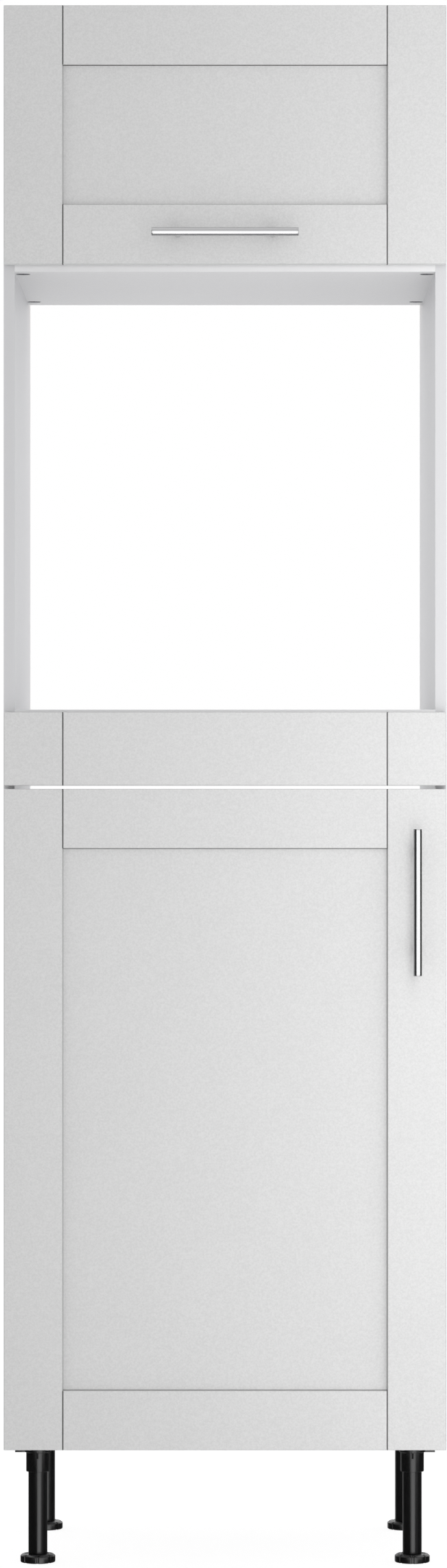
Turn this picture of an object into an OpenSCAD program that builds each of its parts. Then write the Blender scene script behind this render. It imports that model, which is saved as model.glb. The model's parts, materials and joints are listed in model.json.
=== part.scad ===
// Tall 60 cm housing unit: lift-up flap, oven niche, filler panel, framed door and four legs.
// The origin is on the floor in the middle of the outline. X is right, the fronts face -Y, Z is up.

/* [Cabinet] */
// Overall width of the cabinet
body_w = 600; // [450:10:900]
// Height from the floor to the top of the cabinet
body_h = 2118; // [2090:1:2300]
// Depth of the side panels
side_d = 560; // [530:5:640]
// Depth of the top, the shelves and the base
board_d = 490; // [450:5:510]
// Thickness of the side panels and the boards
board_t = 15; // [15:0.5:19]
// Height of the underside of the cabinet above the floor
leg_h = 161; // [140:1:180]
// Height of the top face of the shelf that carries the oven
oven_shelf_top = 1164.1; // [1120:0.1:1200]
// Height of the strip of the upper shelf's edge that shows under the flap
shelf_show = 8.7; // [1:0.1:13]

/* [Back panel] */
// Thickness of the back panel of the upper compartment
back_t = 3; // [2.5:0.5:5]
// Depth of the groove that holds the back panel
back_groove = 6; // [4:0.5:8]
// Distance from the rear edge of the boards to the back panel
back_inset = 12; // [8:1:30]

/* [Fronts] */
// Distance from the sides of the cabinet in to the sides of the fronts
front_reveal = 1.5; // [1:0.5:3]
// Thickness of the frames of the fronts
front_t = 22; // [20:0.5:25]
// Air between the cabinet and the back of the fronts
front_gap = 2; // [1.5:0.1:3]
// Width of the upright frame members
stile_w = 79; // [65:1:90]
// Width of the level frame members
rail_w = 80; // [60:1:90]
// Thickness of the centre panels
panel_t = 8; // [6:0.5:10]
// Step from the face of the frame down to the centre panel
panel_step = 8; // [5:0.5:8]
// Depth of the groove that holds the centre panels
panel_groove = 10; // [8:1:12]
// Rounding of the front edges
edge_r = 1.2; // [0.5:0.1:2]
// Width of the fine line between rails and stiles
joint_line = 1; // [0.6:0.1:2]

/* [Front heights] */
// Height of the flap
flap_h = 349; // [300:1:380]
// Distance from the top of the cabinet to the top of the flap
flap_drop = 3; // [2:0.5:4]
// Height of the lower edge of the filler panel
filler_low = 1061; // [1050:0.5:1075]
// Distance from the top of the oven shelf down to the top of the filler panel
filler_drop = 3.8; // [2:0.1:6]
// Gap between the filler panel and the door
door_gap = 4.4; // [2:0.1:6]
// Height of the lower edge of the door above the underside of the cabinet
door_low = 2.6; // [1:0.1:6]

/* [Handles] */
// Length of the handle bars
bar_len = 198; // [160:1:260]
// Diameter of the handle bars
bar_d = 12; // [10:0.5:14]
// Distance between the two posts of a handle
post_pitch = 128; // [96:32:128]
// Diameter of the handle posts
post_d = 10; // [8:0.5:10]
// Distance from the face of the front to the axis of the bar
bar_reach = 30; // [26:1:36]
// Distance from the top of the door to the top end of its handle
door_bar_drop = 53.7; // [40:0.1:120]

/* [Concealed hinges] */
// Distance from the outer face of the cabinet to the centre of the cup
cup_in = 23.5; // [23.5:0.1:23.8]
// Depth of the hole for the cup
cup_depth = 12.4; // [12.4:0.1:13]
// Distance from the lower and upper edge of the door to its hinges
door_hinge_in = 110; // [90:5:200]
// Distance from the side edges of the flap to its hinges
flap_hinge_in = 135; // [125:5:170]
// Opening angle of the flap in degrees
flap_open = 90; // [75:5:90]

/* [Gas struts] */
// Diameter of the strut tube
tube_d = 15; // [14:0.5:16]
// Diameter of the strut rod
rod_d = 6; // [6:0.5:8]
// Distance from the inner face of a side panel to the axis of its strut
strut_in = 16; // [15:0.5:20]
// Distance from the front of the cabinet back to the lower pivot of the strut
strut_back = 200; // [180:1:220]
// Distance from the top of the cabinet down to the lower pivot of the strut
strut_down = 110; // [100:1:130]

/* [Legs] */
// Distance of the leg axes from the middle of the cabinet
leg_x_in = 44; // [40:1:60]
// Distance from the front of the cabinet back to the front legs
leg_front = 65.6; // [50:0.1:90]
// Distance between the front and the rear legs
leg_pitch = 317; // [280:1:340]
// Diameter of the leg tubes
leg_d = 26; // [24:0.5:28]
// Diameter of the socket round the top of a leg
socket_d = 32; // [32:0.5:36]
// Diameter of the foot disc
foot_d = 48; // [44:1:56]
// Height of the foot disc
foot_h = 11; // [9:0.5:14]
// Travel of the levelling screw
foot_travel = 20; // [10:1:30]

/* [Fittings] */
// Diameter of the cam housings that join boards and sides
cam_d = 20; // [16:0.5:20]
// Distance from the front edge to the front cams
cam_front = 37; // [32:1:60]
// Distance from the front edge to the rear cams
cam_rear = 441; // [400:1:445]
// Diameter of the wooden dowels
dowel_d = 8; // [6:1:8]
// Length of the wooden dowels
dowel_len = 30; // [26:1:32]
// Clearance round pieces that are pushed or screwed into a board
fit = 0.1; // [0.05:0.05:0.3]
// Radial clearance of pins that turn and rods that slide
run_fit = 0.05; // [0.03:0.01:0.08]

/* [Hidden] */
$fn = 40;

eps = 0.01;
WHITE = "#f1f1f3";
LACQUER = "#dedfe0";
STEEL = "#b9bbbd";
ZINC = "#8f9296";
BLACK = "#1b1b1c";
BEECH = "#cfa878";

// The outline is front to back: handle, front, gap, side panel
bar_r = bar_d / 2;
total_d = side_d + front_gap + front_t + bar_reach + bar_r;
front_y = -total_d / 2 + bar_reach + bar_r + front_t + front_gap;
face_y = front_y - front_gap - front_t;
inner_w = body_w - 2 * board_t;
inner_x = inner_w / 2;
side_h = body_h - leg_h;

// Fronts: width, and lowest point and height of each
front_w = body_w - 2 * front_reveal;
flap_z = body_h - flap_drop - flap_h;
filler_h = oven_shelf_top - filler_drop - filler_low;
door_z = leg_h + door_low;
door_h = filler_low - door_gap - door_z;
rail_len = front_w - 2 * stile_w;
groove_t = panel_t + 2 * fit;
edge_left = -front_w / 2;
edge_right = front_w / 2;

// Heights of the undersides of the four boards, from the base up
upper_shelf_under = flap_z - shelf_show;
board_zs = [leg_h, oven_shelf_top - board_t, upper_shelf_under, body_h - board_t];

// Handles: the flap's lies along its lower rail, the door's stands on its right stile
flap_bar_z = flap_z + rail_w / 2;
door_bar_x = edge_right - stile_w / 2;
door_bar_z = door_z + door_h - door_bar_drop - bar_len / 2;
screw_r = 2;
screw_head_r = 4.5;
screw_head_h = 2.4;
handle_screw_deep = 12;

// Small screws of the fittings
small_r = 1.75;
small_head_r = 3.6;
small_head_h = 2;
small_len = 11;

// Concealed hinge, seen along its axis: u runs in from the outer face of the cabinet board,
// v runs back from the front edge of the board, and w runs along the hinge axis
cup_d = 35;
swing_u = 11.7;
swing_v = -16.4;
arm_pivot = [35.2, -3.9];
link_bend = [20.3, -11.05];
link_tip = [14.5, -8.5];
link_t = 3;
link_half_w = 4.8;
link_eye_r = 2.6;
pivot_r = 1.5;
tip_pin_half = 7;
cheek_in = 5;
cheek_out = 6.4;
arm_boss_r = 2.8;
arm_web_u = 38;
arm_foot_u = 4 + board_t + 2;
arm_back_v = 64;
web_t = 1.5;
flange_t = 1.2;
flange_r = 18.6;
flange_flat = 15.4;
wing_w = 24;
wing_r = 6;
wing_u = 6;
cup_wall = 1;
plate_v = 37;
plate_screw_w = 16;
plate_t = 3;
hinge_chamfer = 3;
door_hinge_zs = [door_z + door_hinge_in, door_z + door_h - door_hinge_in];
flap_hinge_xs = [edge_left + flap_hinge_in, edge_right - flap_hinge_in];

// Gas strut, seen from the side: v runs back from the front of the cabinet, d runs down from its top
strut_pin_v = 18;
strut_pin_drop = 40;
strut_pin = [strut_pin_v, swing_u + strut_pin_drop];
strut_base = [strut_back, strut_down];
pin_from_axis = strut_pin - [swing_v, swing_u];
pin_open = [swing_v, swing_u]
    + [pin_from_axis[0] * cos(flap_open) - pin_from_axis[1] * sin(flap_open),
       pin_from_axis[1] * cos(flap_open) + pin_from_axis[0] * sin(flap_open)];
strut_closed = norm(strut_pin - strut_base);
strut_opened = norm(pin_open - strut_base);
stroke = strut_opened - strut_closed;
strut_tilt = atan2(strut_base[1] - strut_pin[1], strut_base[0] - strut_pin[0]);
strut_x = inner_x - strut_in;
strut_eye_r = 6;
strut_eye_w = 10;
stud_r = 3;
tube_start = 10;
tube_wall = 1.4;
tube_len = stroke + 22;
plug_len = 5;
rod_inside = 12;
rod_len = strut_opened - tube_start - tube_len + rod_inside;
piston_len = 6;
side_plate = [20, 60];
pin_out = 3;
ear_gap = 0.4;
ear_t = 2;
ear_x = strut_x - strut_eye_w / 2 - pin_out - ear_gap - ear_t;
ear_root = 15;
ear_foot_w = 17;
ear_foot_h = 40;
ear_hole_in = 9;
ear_hole_pitch = 26;
ear_screw_len = 9;

// Legs
leg_x = body_w / 2 - leg_x_in;
leg_ys = [front_y + leg_front, front_y + leg_front + leg_pitch];
socket_plate_t = 5;
flange_h = 5.8;
socket_h = 37;
plate_low = leg_h - socket_plate_t;
flange_low = plate_low - flange_h;
socket_low = leg_h - socket_h;
plate_half_w = 18;
plate_rear = 27;
plate_front = 24;
tab_w = 10.4;
tab_len = 3;
tongue_out = 31;
tongue_w = 18;
ear_out = 24;
ear_w = 32;
web_w = 10;
rib_t = 2.5;
rib_drop = 8;
rib_reach = 24;
tube_r = leg_d / 2;
tube_bore_r = 9.5;
tube_top = leg_h - 8;
stem_r = tube_bore_r - run_fit;
stem_len = foot_travel + 22;
foot_bevel_w = 3;
foot_bevel_h = 2.2;
notch_w = 3.2;
notch_deep = 1.6;
socket_screw_xs = [-13.5, 10];
socket_screw_y = 19.5;
socket_screw_grip = 10;

// Cams and dowels
cam_h = 11.5;
bolt_r = 2.5;
bolt_head_r = 3;
bolt_head_t = 2.4;
bolt_room = 0.5;
bolt_in_side = 10;
dowel_front = 69;
dowel_rear = 409;
cam_ys = [front_y + cam_front, front_y + cam_rear];
dowel_ys = [front_y + dowel_front, front_y + dowel_rear];
cam_x = inner_x - cam_d / 2;
side_dowel_in = 9;

// Filler brackets
bracket_w = 24;
bracket_leg = 34;
bracket_t = 2;
bracket_in = 90;
bracket_x = inner_x - bracket_in;
bracket_hole_in = 7;
filler_hole_z = 16;

// Bumpers between fronts and cabinet
bumper_r = 4;
bumper_t = front_gap - 0.3;

// A board between its lowest corner and its size
module board(low, size) {
    translate(low) cube(size);
}

// A cylinder along X, along Y or along Z from a point
module along_x(from, r, len) {
    translate(from) rotate([0, 90, 0]) cylinder(r = r, h = len);
}

module along_y(from, r, len) {
    translate(from) rotate([-90, 0, 0]) cylinder(r = r, h = len);
}

module along_z(from, r, len) {
    translate(from) cylinder(r = r, h = len);
}

// A pan-head screw whose head rests on the plane z = 0 and whose shank points to -Z
module small_screw(len = small_len) {
    translate([0, 0, -len]) cylinder(r = small_r, h = len + eps);
    intersection() {
        cylinder(r = small_head_r, h = small_head_h);
        translate([0, 0, -small_head_r * 0.9]) sphere(r = small_head_r * 1.35);
    }
}

// The pilot hole of that screw
module small_pilot(len = small_len) {
    translate([0, 0, -len - 2 * fit]) cylinder(r = small_r + fit, h = len + 2 * fit + 1);
}

// Cabinet boards

// Holes in a side panel, drawn for the right-hand side
module side_holes() {
    for (z = board_zs) {
        for (y = cam_ys)
            along_x([inner_x - eps, y, z + board_t / 2], bolt_r + fit, bolt_in_side + 2 * fit);
        for (y = dowel_ys)
            along_x([inner_x - eps, y, z + board_t / 2], dowel_d / 2 + fit, side_dowel_in + fit);
    }
    board([inner_x - eps, front_y + board_d - back_inset - back_t - 2 * fit, upper_shelf_under],
          [back_groove, back_t + 2 * fit, body_h]);
    strut_side_pilots();
}

module side_panel() {
    difference() {
        board([inner_x, front_y, leg_h], [board_t, side_d, side_h]);
        side_holes();
    }
}

module side_panel_left() {
    color(WHITE) difference() {
        mirror([1, 0, 0]) side_panel();
        door_plate_pilots();
    }
}

module side_panel_right() {
    color(WHITE) side_panel();
}

// A board between the sides with the cuts for its cams and dowels in the underside and the ends
module cross_board(z) {
    difference() {
        board([-inner_x, front_y, z], [inner_w, board_d, board_t]);
        for (side = [-1, 1]) {
            for (y = cam_ys) {
                along_z([side * cam_x, y, z - 1], cam_d / 2 + fit, cam_h + fit + 1);
                translate([side * cam_x, y, z + board_t / 2]) rotate([0, side * 90, 0])
                    cylinder(r = bolt_head_r + bolt_room + fit, h = cam_d);
            }
            for (y = dowel_ys)
                translate([side * (inner_x + 1), y, z + board_t / 2]) rotate([0, -side * 90, 0])
                    cylinder(r = dowel_d / 2 + fit, h = dowel_len - side_dowel_in + 2 * fit + 1);
        }
    }
}

module top_board() {
    color(WHITE) difference() {
        cross_board(board_zs[3]);
        board([-inner_x - 1, front_y + board_d - back_inset - back_t - 2 * fit, board_zs[3] - 1],
              [inner_w + 2, back_t + 2 * fit, back_groove + 1]);
        flap_plate_pilots();
    }
}

module upper_shelf() {
    color(WHITE) difference() {
        cross_board(upper_shelf_under);
        board([-inner_x - 1, front_y + board_d - back_inset - back_t - 2 * fit,
               upper_shelf_under + board_t - back_groove], [inner_w + 2, back_t + 2 * fit, back_groove + 1]);
    }
}

module oven_shelf() {
    color(WHITE) difference() {
        cross_board(board_zs[1]);
        filler_shelf_pilots();
    }
}

module base_board() {
    color(WHITE) difference() {
        cross_board(leg_h);
        at_legs() translate([0, 0, leg_h]) at_socket_screws() small_pilot(socket_screw_grip);
    }
}

module back_panel() {
    low = upper_shelf_under + board_t - back_groove + fit;
    high = body_h - board_t + back_groove - fit;
    reach = inner_x + back_groove - 2 * fit;
    color(WHITE) board([-reach, front_y + board_d - back_inset - back_t - fit, low],
                       [2 * reach, back_t, high - low]);
}

// Board connectors

module at_cams() {
    for (z = board_zs, side = [-1, 1], y = cam_ys)
        translate([side * cam_x, y, z]) mirror([side < 0 ? 1 : 0, 0, 0]) children();
}

// A round housing, open towards the bolt, with a cross recess in its face
module cam_housings() {
    color(ZINC) at_cams() difference() {
        cylinder(r = cam_d / 2, h = cam_h);
        translate([-bolt_head_t / 2 - bolt_room, 0, board_t / 2]) rotate([0, 90, 0])
            cylinder(r = bolt_head_r + bolt_room, h = cam_d);
        for (turn = [0, 90])
            rotate(turn + 45) translate([-4.5, -0.75, -1]) cube([9, 1.5, 2.8]);
        translate([0, 0, -1]) difference() {
            cylinder(r = cam_d / 2 - 1, h = 1.6);
            cylinder(r = cam_d / 2 - 3.4, h = 1.6);
        }
    }
}

// Bolt of a cam: a thread in the side panel, a collar on its face, and a head inside the housing
module cam_bolts() {
    reach = cam_d / 2;
    color(STEEL) at_cams() translate([0, 0, board_t / 2]) rotate([0, 90, 0]) {
        translate([0, 0, -bolt_head_t / 2]) cylinder(r = bolt_head_r, h = bolt_head_t);
        cylinder(r = 1.6, h = reach);
        translate([0, 0, 4]) cylinder(r = bolt_r, h = reach - 4 + bolt_in_side);
    }
}

module wood_dowels() {
    color(BEECH) for (z = board_zs, side = [-1, 1], y = dowel_ys)
        translate([side * (inner_x + side_dowel_in), y, z + board_t / 2]) rotate([0, -side * 90, 0]) {
            translate([0, 0, 1]) cylinder(r = dowel_d / 2, h = dowel_len - 2);
            cylinder(r1 = dowel_d / 2 - 0.8, r2 = dowel_d / 2, h = 1);
            translate([0, 0, dowel_len - 1]) cylinder(r1 = dowel_d / 2, r2 = dowel_d / 2 - 0.8, h = 1);
        }
}

// Framed fronts

// A slab with its four front edges rounded, from its lowest front corner
module slab(w, h) {
    intersection() {
        linear_extrude(height = h) rounded_front(w);
        translate([w, 0, 0]) rotate([0, -90, 0]) linear_extrude(height = w) rounded_front(h);
    }
}

// Plan of that slab: its front corners are arcs, its rear corners are square
module rounded_front(w) {
    translate([edge_r, 0]) square([w - 2 * edge_r, front_t]);
    translate([0, edge_r]) square([w, front_t - edge_r]);
    for (x = [edge_r, w - edge_r])
        translate([x, edge_r]) circle(r = edge_r);
}

// An upright frame member with its groove in the inner edge; it is drawn for the left side
module stile(h, chamfer = 0) {
    difference() {
        slab(stile_w, h);
        board([stile_w - panel_groove, panel_step - fit, -1], [panel_groove + 1, groove_t, h + 2]);
        if (chamfer > 0)
            translate([0, front_t, -1]) linear_extrude(height = h + 2)
                polygon([[-1, -chamfer - 1], [chamfer + 1, 1], [-1, 1]]);
    }
}

// A level frame member: tongues at the ends, a fine line at each joint, and a groove above or below
module rail(h, groove_low = false, groove_high = false) {
    tongue = panel_groove - 2 * fit;
    difference() {
        union() {
            translate([joint_line, 0, 0]) slab(rail_len - 2 * joint_line, h);
            board([fit, 2 * edge_r, 0], [rail_len - 2 * fit, front_t - 2 * edge_r, h]);
            board([-tongue, panel_step, 0], [rail_len + 2 * tongue, panel_t, h]);
        }
        if (groove_low)
            board([-front_w, panel_step - fit, -1], [2 * front_w, groove_t, panel_groove + 1]);
        if (groove_high)
            board([-front_w, panel_step - fit, h - panel_groove], [2 * front_w, groove_t, panel_groove + 1]);
    }
}

// The centre panel of a front of height h, from its lowest front corner
module centre_panel(h) {
    lap = panel_groove - 5 * fit;
    board([-lap, panel_step, rail_w - lap], [rail_len + 2 * lap, panel_t, h - 2 * rail_w + 2 * lap]);
}

module place_stile(side, z) {
    translate([side * front_w / 2, face_y, z]) mirror([side > 0 ? 1 : 0, 0, 0]) children();
}

module place_rail(z) {
    translate([-rail_len / 2, face_y, z]) children();
}

module filler_stile_left() {
    color(LACQUER) place_stile(-1, filler_low) stile(filler_h);
}

module filler_stile_right() {
    color(LACQUER) place_stile(1, filler_low) stile(filler_h);
}

module filler_rail() {
    color(LACQUER) difference() {
        place_rail(filler_low) rail(filler_h);
        filler_front_pilots();
    }
}

module flap_stile_left() {
    color(LACQUER) difference() {
        place_stile(-1, flap_z) stile(flap_h);
        flap_chamfer();
        strut_flap_pilots();
    }
}

module flap_stile_right() {
    color(LACQUER) difference() {
        place_stile(1, flap_z) stile(flap_h);
        flap_chamfer();
        strut_flap_pilots();
    }
}

// The rear upper edge of the flap is bevelled, so that it clears the top board as it turns
module flap_chamfer() {
    translate([-front_w, face_y + front_t, flap_z + flap_h]) rotate([90, 0, 90])
        linear_extrude(height = 2 * front_w)
            polygon([[-hinge_chamfer, 0], [1, -hinge_chamfer - 1], [1, 1], [-hinge_chamfer, 1]]);
}

module flap_rail_top() {
    color(LACQUER) difference() {
        place_rail(flap_z + flap_h - rail_w) rail(rail_w, groove_low = true);
        flap_chamfer();
        at_flap_hinges() cup_hole();
    }
}

module flap_rail_bottom() {
    color(LACQUER) difference() {
        place_rail(flap_z) rail(rail_w, groove_high = true);
        flap_handle_holes();
    }
}

module flap_panel() {
    color(LACQUER) place_rail(flap_z) centre_panel(flap_h);
}

module door_stile_left() {
    color(LACQUER) difference() {
        place_stile(-1, door_z) stile(door_h, hinge_chamfer);
        at_door_hinges() cup_hole();
    }
}

module door_stile_right() {
    color(LACQUER) difference() {
        place_stile(1, door_z) stile(door_h);
        door_handle_holes();
    }
}

module door_rail_top() {
    color(LACQUER) place_rail(door_z + door_h - rail_w) rail(rail_w, groove_low = true);
}

module door_rail_bottom() {
    color(LACQUER) place_rail(door_z) rail(rail_w, groove_high = true);
}

module door_panel() {
    color(LACQUER) place_rail(door_z) centre_panel(door_h);
}

// Bar handles, drawn lying along X with the bar's middle over the origin of the face

module at_flap_handle() {
    translate([0, face_y, flap_bar_z]) children();
}

module at_door_handle() {
    translate([door_bar_x, face_y, door_bar_z]) rotate([0, -90, 0]) children();
}

module handle_bar() {
    bevel = 0.8;
    difference() {
        translate([0, -bar_reach, 0]) rotate([0, 90, 0]) {
            translate([0, 0, -bar_len / 2 + bevel]) cylinder(r = bar_r, h = bar_len - 2 * bevel);
            for (end = [0, 180])
                rotate([end, 0, 0]) translate([0, 0, bar_len / 2 - bevel])
                    cylinder(r1 = bar_r, r2 = bar_r - bevel, h = bevel);
        }
        for (x = [-post_pitch / 2, post_pitch / 2])
            along_y([x, -bar_reach + 2, 0], post_d / 2 + fit, bar_r);
    }
}

// A post is let into the bar and bored from behind for its screw
module handle_post() {
    difference() {
        along_y([0, -bar_reach + 2 + fit, 0], post_d / 2, bar_reach - 2 - fit);
        along_y([0, -handle_screw_deep - fit, 0], screw_r + fit, handle_screw_deep + 1);
    }
}

module handle_posts() {
    for (x = [-post_pitch / 2, post_pitch / 2])
        translate([x, 0, 0]) handle_post();
}

module handle_screws() {
    for (x = [-post_pitch / 2, post_pitch / 2]) {
        along_y([x, -handle_screw_deep, 0], screw_r, handle_screw_deep + front_t + eps);
        along_y([x, front_t, 0], screw_head_r, screw_head_h * 0.5);
        along_y([x, front_t, 0], screw_head_r * 0.7, screw_head_h * 0.75);
    }
}

module handle_holes() {
    for (x = [-post_pitch / 2, post_pitch / 2])
        along_y([x, -1, 0], screw_r + fit, front_t + 2);
}

module flap_handle_holes() {
    at_flap_handle() handle_holes();
}

module door_handle_holes() {
    at_door_handle() handle_holes();
}

module flap_handle_bar() {
    color(STEEL) at_flap_handle() handle_bar();
}

module flap_handle_posts() {
    color(STEEL) at_flap_handle() handle_posts();
}

module flap_handle_screws() {
    color(ZINC) at_flap_handle() handle_screws();
}

module door_handle_bar() {
    color(STEEL) at_door_handle() handle_bar();
}

module door_handle_posts() {
    color(STEEL) at_door_handle() handle_posts();
}

module door_handle_screws() {
    color(ZINC) at_door_handle() handle_screws();
}

// Bumpers on the back of the fronts, where they meet the front edges of the cabinet

module bumper_at(x, z) {
    along_y([x, face_y + front_t, z], bumper_r, bumper_t * 0.6);
    along_y([x, face_y + front_t, z], bumper_r * 0.75, bumper_t);
}

module door_bumpers() {
    color("#e8e8e8") for (z = [door_z + 20, door_z + door_h - 20])
        bumper_at(inner_x + board_t / 2, z);
}

module flap_bumpers() {
    color("#e8e8e8") for (side = [-1, 1])
        bumper_at(side * (inner_x + board_t / 2), flap_z + 20);
}

// Concealed hinges

module at_door_hinges() {
    for (z = door_hinge_zs)
        translate([-body_w / 2, front_y, z]) children();
}

module at_flap_hinges() {
    for (x = flap_hinge_xs)
        translate([x, front_y, body_h]) rotate([0, 90, 0]) children();
}

// The bore of the cup and the pilot holes of its two screws
module cup_hole() {
    translate([cup_in, -front_gap, 0]) rotate([90, 0, 0]) translate([0, 0, -1])
        cylinder(r = cup_d / 2 + fit, h = cup_depth + fit + 1);
    at_cup_screws() small_pilot(8);
}

module at_cup_screws() {
    for (side = [-1, 1])
        translate([cup_in + wing_u, -front_gap + flange_t, side * wing_w]) rotate([-90, 0, 0]) children();
}

module cup_flange_plan() {
    difference() {
        union() {
            circle(r = flange_r);
            translate([wing_u - wing_r, -wing_w]) square([2 * wing_r, 2 * wing_w]);
            for (side = [-1, 1])
                translate([wing_u, side * wing_w]) circle(r = wing_r);
        }
        circle(r = cup_d / 2 - cup_wall);
        translate([-flange_flat - flange_r, -flange_r]) square([flange_r, 2 * flange_r]);
        for (side = [-1, 1])
            translate([wing_u, side * wing_w]) circle(r = small_r + fit);
    }
}

// A pressed cup: wall and floor in the bore, and a flange with two screw wings on the back of the front
module hinge_cup() {
    translate([cup_in, -front_gap, 0]) rotate([90, 0, 0]) {
        translate([0, 0, -flange_t]) linear_extrude(height = flange_t) cup_flange_plan();
        difference() {
            cylinder(r = cup_d / 2, h = cup_depth);
            translate([0, 0, -1]) cylinder(r = cup_d / 2 - cup_wall, h = cup_depth - cup_wall + 1);
        }
    }
}

// A pin along the hinge axis, reaching equally far to both sides of the plan
module along_w(at, r, reach) {
    translate([at[0], at[1], -reach]) cylinder(r = r, h = 2 * reach);
}

// A bar of given thickness with round ends, between two points of the plan
module round_bar(a, b, t) {
    turn = atan2(b[1] - a[1], b[0] - a[0]);
    translate(a) rotate(turn) translate([0, -t / 2]) square([norm(b - a), t]);
    for (p = [a, b])
        translate(p) circle(r = t / 2);
}

// The cranked link turns on the arm's pin, and its pin lies in the cup
module hinge_link() {
    difference() {
        union() {
            translate([0, 0, -link_half_w]) linear_extrude(height = 2 * link_half_w) {
                round_bar(arm_pivot, link_bend, link_t);
                round_bar(link_bend, link_tip, link_t);
                translate(arm_pivot) circle(r = link_eye_r);
            }
            along_w(link_tip, link_t / 2, tip_pin_half);
        }
        along_w(arm_pivot, pivot_r + run_fit, cheek_out);
    }
}

// Outline of one cheek of the arm, from the boss at the pivot back to the foot on the plate
module cheek_plan() {
    polygon([arm_pivot - [arm_boss_r, 0], [25.5, 9], [arm_foot_u, 16], [arm_foot_u, arm_back_v],
             [34, arm_back_v], [arm_web_u, arm_back_v - 12], [arm_web_u, 4], arm_pivot + [arm_boss_r, 0]]);
    translate(arm_pivot) circle(r = arm_boss_r);
}

// A pressed channel with the pivot pin riveted into its cheeks
module hinge_arm() {
    for (low = [-cheek_out, cheek_in])
        translate([0, 0, low]) linear_extrude(height = cheek_out - cheek_in) cheek_plan();
    difference() {
        board([arm_web_u - web_t, 8, -cheek_in - eps], [web_t, arm_back_v - 20, 2 * cheek_in + 2 * eps]);
        for (v = [22, 44])
            translate([arm_web_u - 2 * web_t, v, 0]) rotate([0, 90, 0]) cylinder(r = 2.6, h = 4 * web_t);
    }
    along_w(arm_pivot, pivot_r, cheek_out);
}

// A plate with two wings on the board, a raised rail under the arm and the two setting screws
module hinge_plate() {
    difference() {
        union() {
            board([board_t, plate_v - 5, -plate_screw_w - 4], [plate_t - 1, 10, 2 * plate_screw_w + 8]);
            board([board_t, 18, -cheek_in + 0.3], [plate_t + 3, arm_back_v - 20, 2 * cheek_in - 0.6]);
            board([board_t, 18, -cheek_out - 1],
                  [arm_foot_u - board_t - fit, arm_back_v - 20, 2 * cheek_out + 2]);
        }
        for (side = [-1, 1])
            along_x([0, plate_v, side * plate_screw_w], small_r + fit, 60);
    }
    for (v = [22, 44])
        translate([board_t + plate_t + 2, v, 0]) rotate([0, 90, 0]) {
            cylinder(r = 2, h = arm_web_u - board_t - plate_t - 1.5);
            translate([0, 0, arm_web_u - board_t - plate_t - 3.5]) cylinder(r = 2.4, h = 2.2);
        }
}

module at_plate_screws() {
    for (side = [-1, 1])
        translate([board_t + plate_t - 1, plate_v, side * plate_screw_w]) rotate([0, 90, 0]) children();
}

module door_plate_pilots() {
    at_door_hinges() at_plate_screws() small_pilot();
}

module flap_plate_pilots() {
    at_flap_hinges() at_plate_screws() small_pilot();
}

module door_hinge_cups() {
    color(STEEL) at_door_hinges() hinge_cup();
}

module flap_hinge_cups() {
    color(STEEL) at_flap_hinges() hinge_cup();
}

module door_cup_screws() {
    color(ZINC) at_door_hinges() at_cup_screws() small_screw(8);
}

module flap_cup_screws() {
    color(ZINC) at_flap_hinges() at_cup_screws() small_screw(8);
}

module door_hinge_links() {
    color(STEEL) at_door_hinges() hinge_link();
}

module flap_hinge_links() {
    color(STEEL) at_flap_hinges() hinge_link();
}

module door_hinge_arms() {
    color(STEEL) at_door_hinges() hinge_arm();
}

module flap_hinge_arms() {
    color(STEEL) at_flap_hinges() hinge_arm();
}

module door_hinge_plates() {
    color(ZINC) at_door_hinges() hinge_plate();
}

module flap_hinge_plates() {
    color(ZINC) at_flap_hinges() hinge_plate();
}

module hinge_plate_screws() {
    color(ZINC) {
        at_door_hinges() at_plate_screws() small_screw();
        at_flap_hinges() at_plate_screws() small_screw();
    }
}

// Gas struts, drawn for the right-hand side and mirrored

module on_side(side) {
    mirror([side < 0 ? 1 : 0, 0, 0]) children();
}

// A point of the side view, at a given distance from the middle
module at_vd(x, p) {
    translate([x, front_y + p[0], body_h - p[1]]) children();
}

module at_side_bracket_screws() {
    for (dz = [-1, 1])
        at_vd(inner_x - ear_t, strut_base) translate([0, 0, dz * (side_plate[1] / 2 - 8)])
            rotate([0, -90, 0]) children();
}

module strut_side_pilots() {
    at_side_bracket_screws() small_pilot(9);
}

// A plate on the side panel with the stud that carries the tube of the strut
module side_bracket() {
    difference() {
        at_vd(inner_x - ear_t, strut_base) translate([0, -side_plate[0] / 2, -side_plate[1] / 2])
            cube([ear_t, side_plate[0], side_plate[1]]);
        at_side_bracket_screws() translate([0, 0, -5]) cylinder(r = small_r + fit, h = 10);
    }
    at_vd(strut_x - strut_eye_w / 2 - 3, strut_base) rotate([0, 90, 0]) {
        cylinder(r = stud_r + 1.5, h = 2.5);
        cylinder(r = stud_r, h = strut_in + strut_eye_w / 2 + 3 - ear_t + eps);
    }
}

module strut_side_brackets() {
    color(ZINC) for (side = [-1, 1])
        on_side(side) side_bracket();
}

module strut_side_screws() {
    color(ZINC) for (side = [-1, 1])
        on_side(side) at_side_bracket_screws() small_screw(9);
}

// Along the strut: +X of the children points from the lower pivot to the upper one
module along_strut() {
    at_vd(strut_x, strut_base) rotate([-strut_tilt, 0, 0]) rotate([0, 0, -90]) children();
}

module strut_eye(bore) {
    difference() {
        rotate([90, 0, 0]) translate([0, 0, -strut_eye_w / 2]) cylinder(r = strut_eye_r, h = strut_eye_w);
        if (bore > 0)
            rotate([90, 0, 0]) translate([0, 0, -strut_eye_w]) cylinder(r = bore, h = 2 * strut_eye_w);
    }
}

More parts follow.
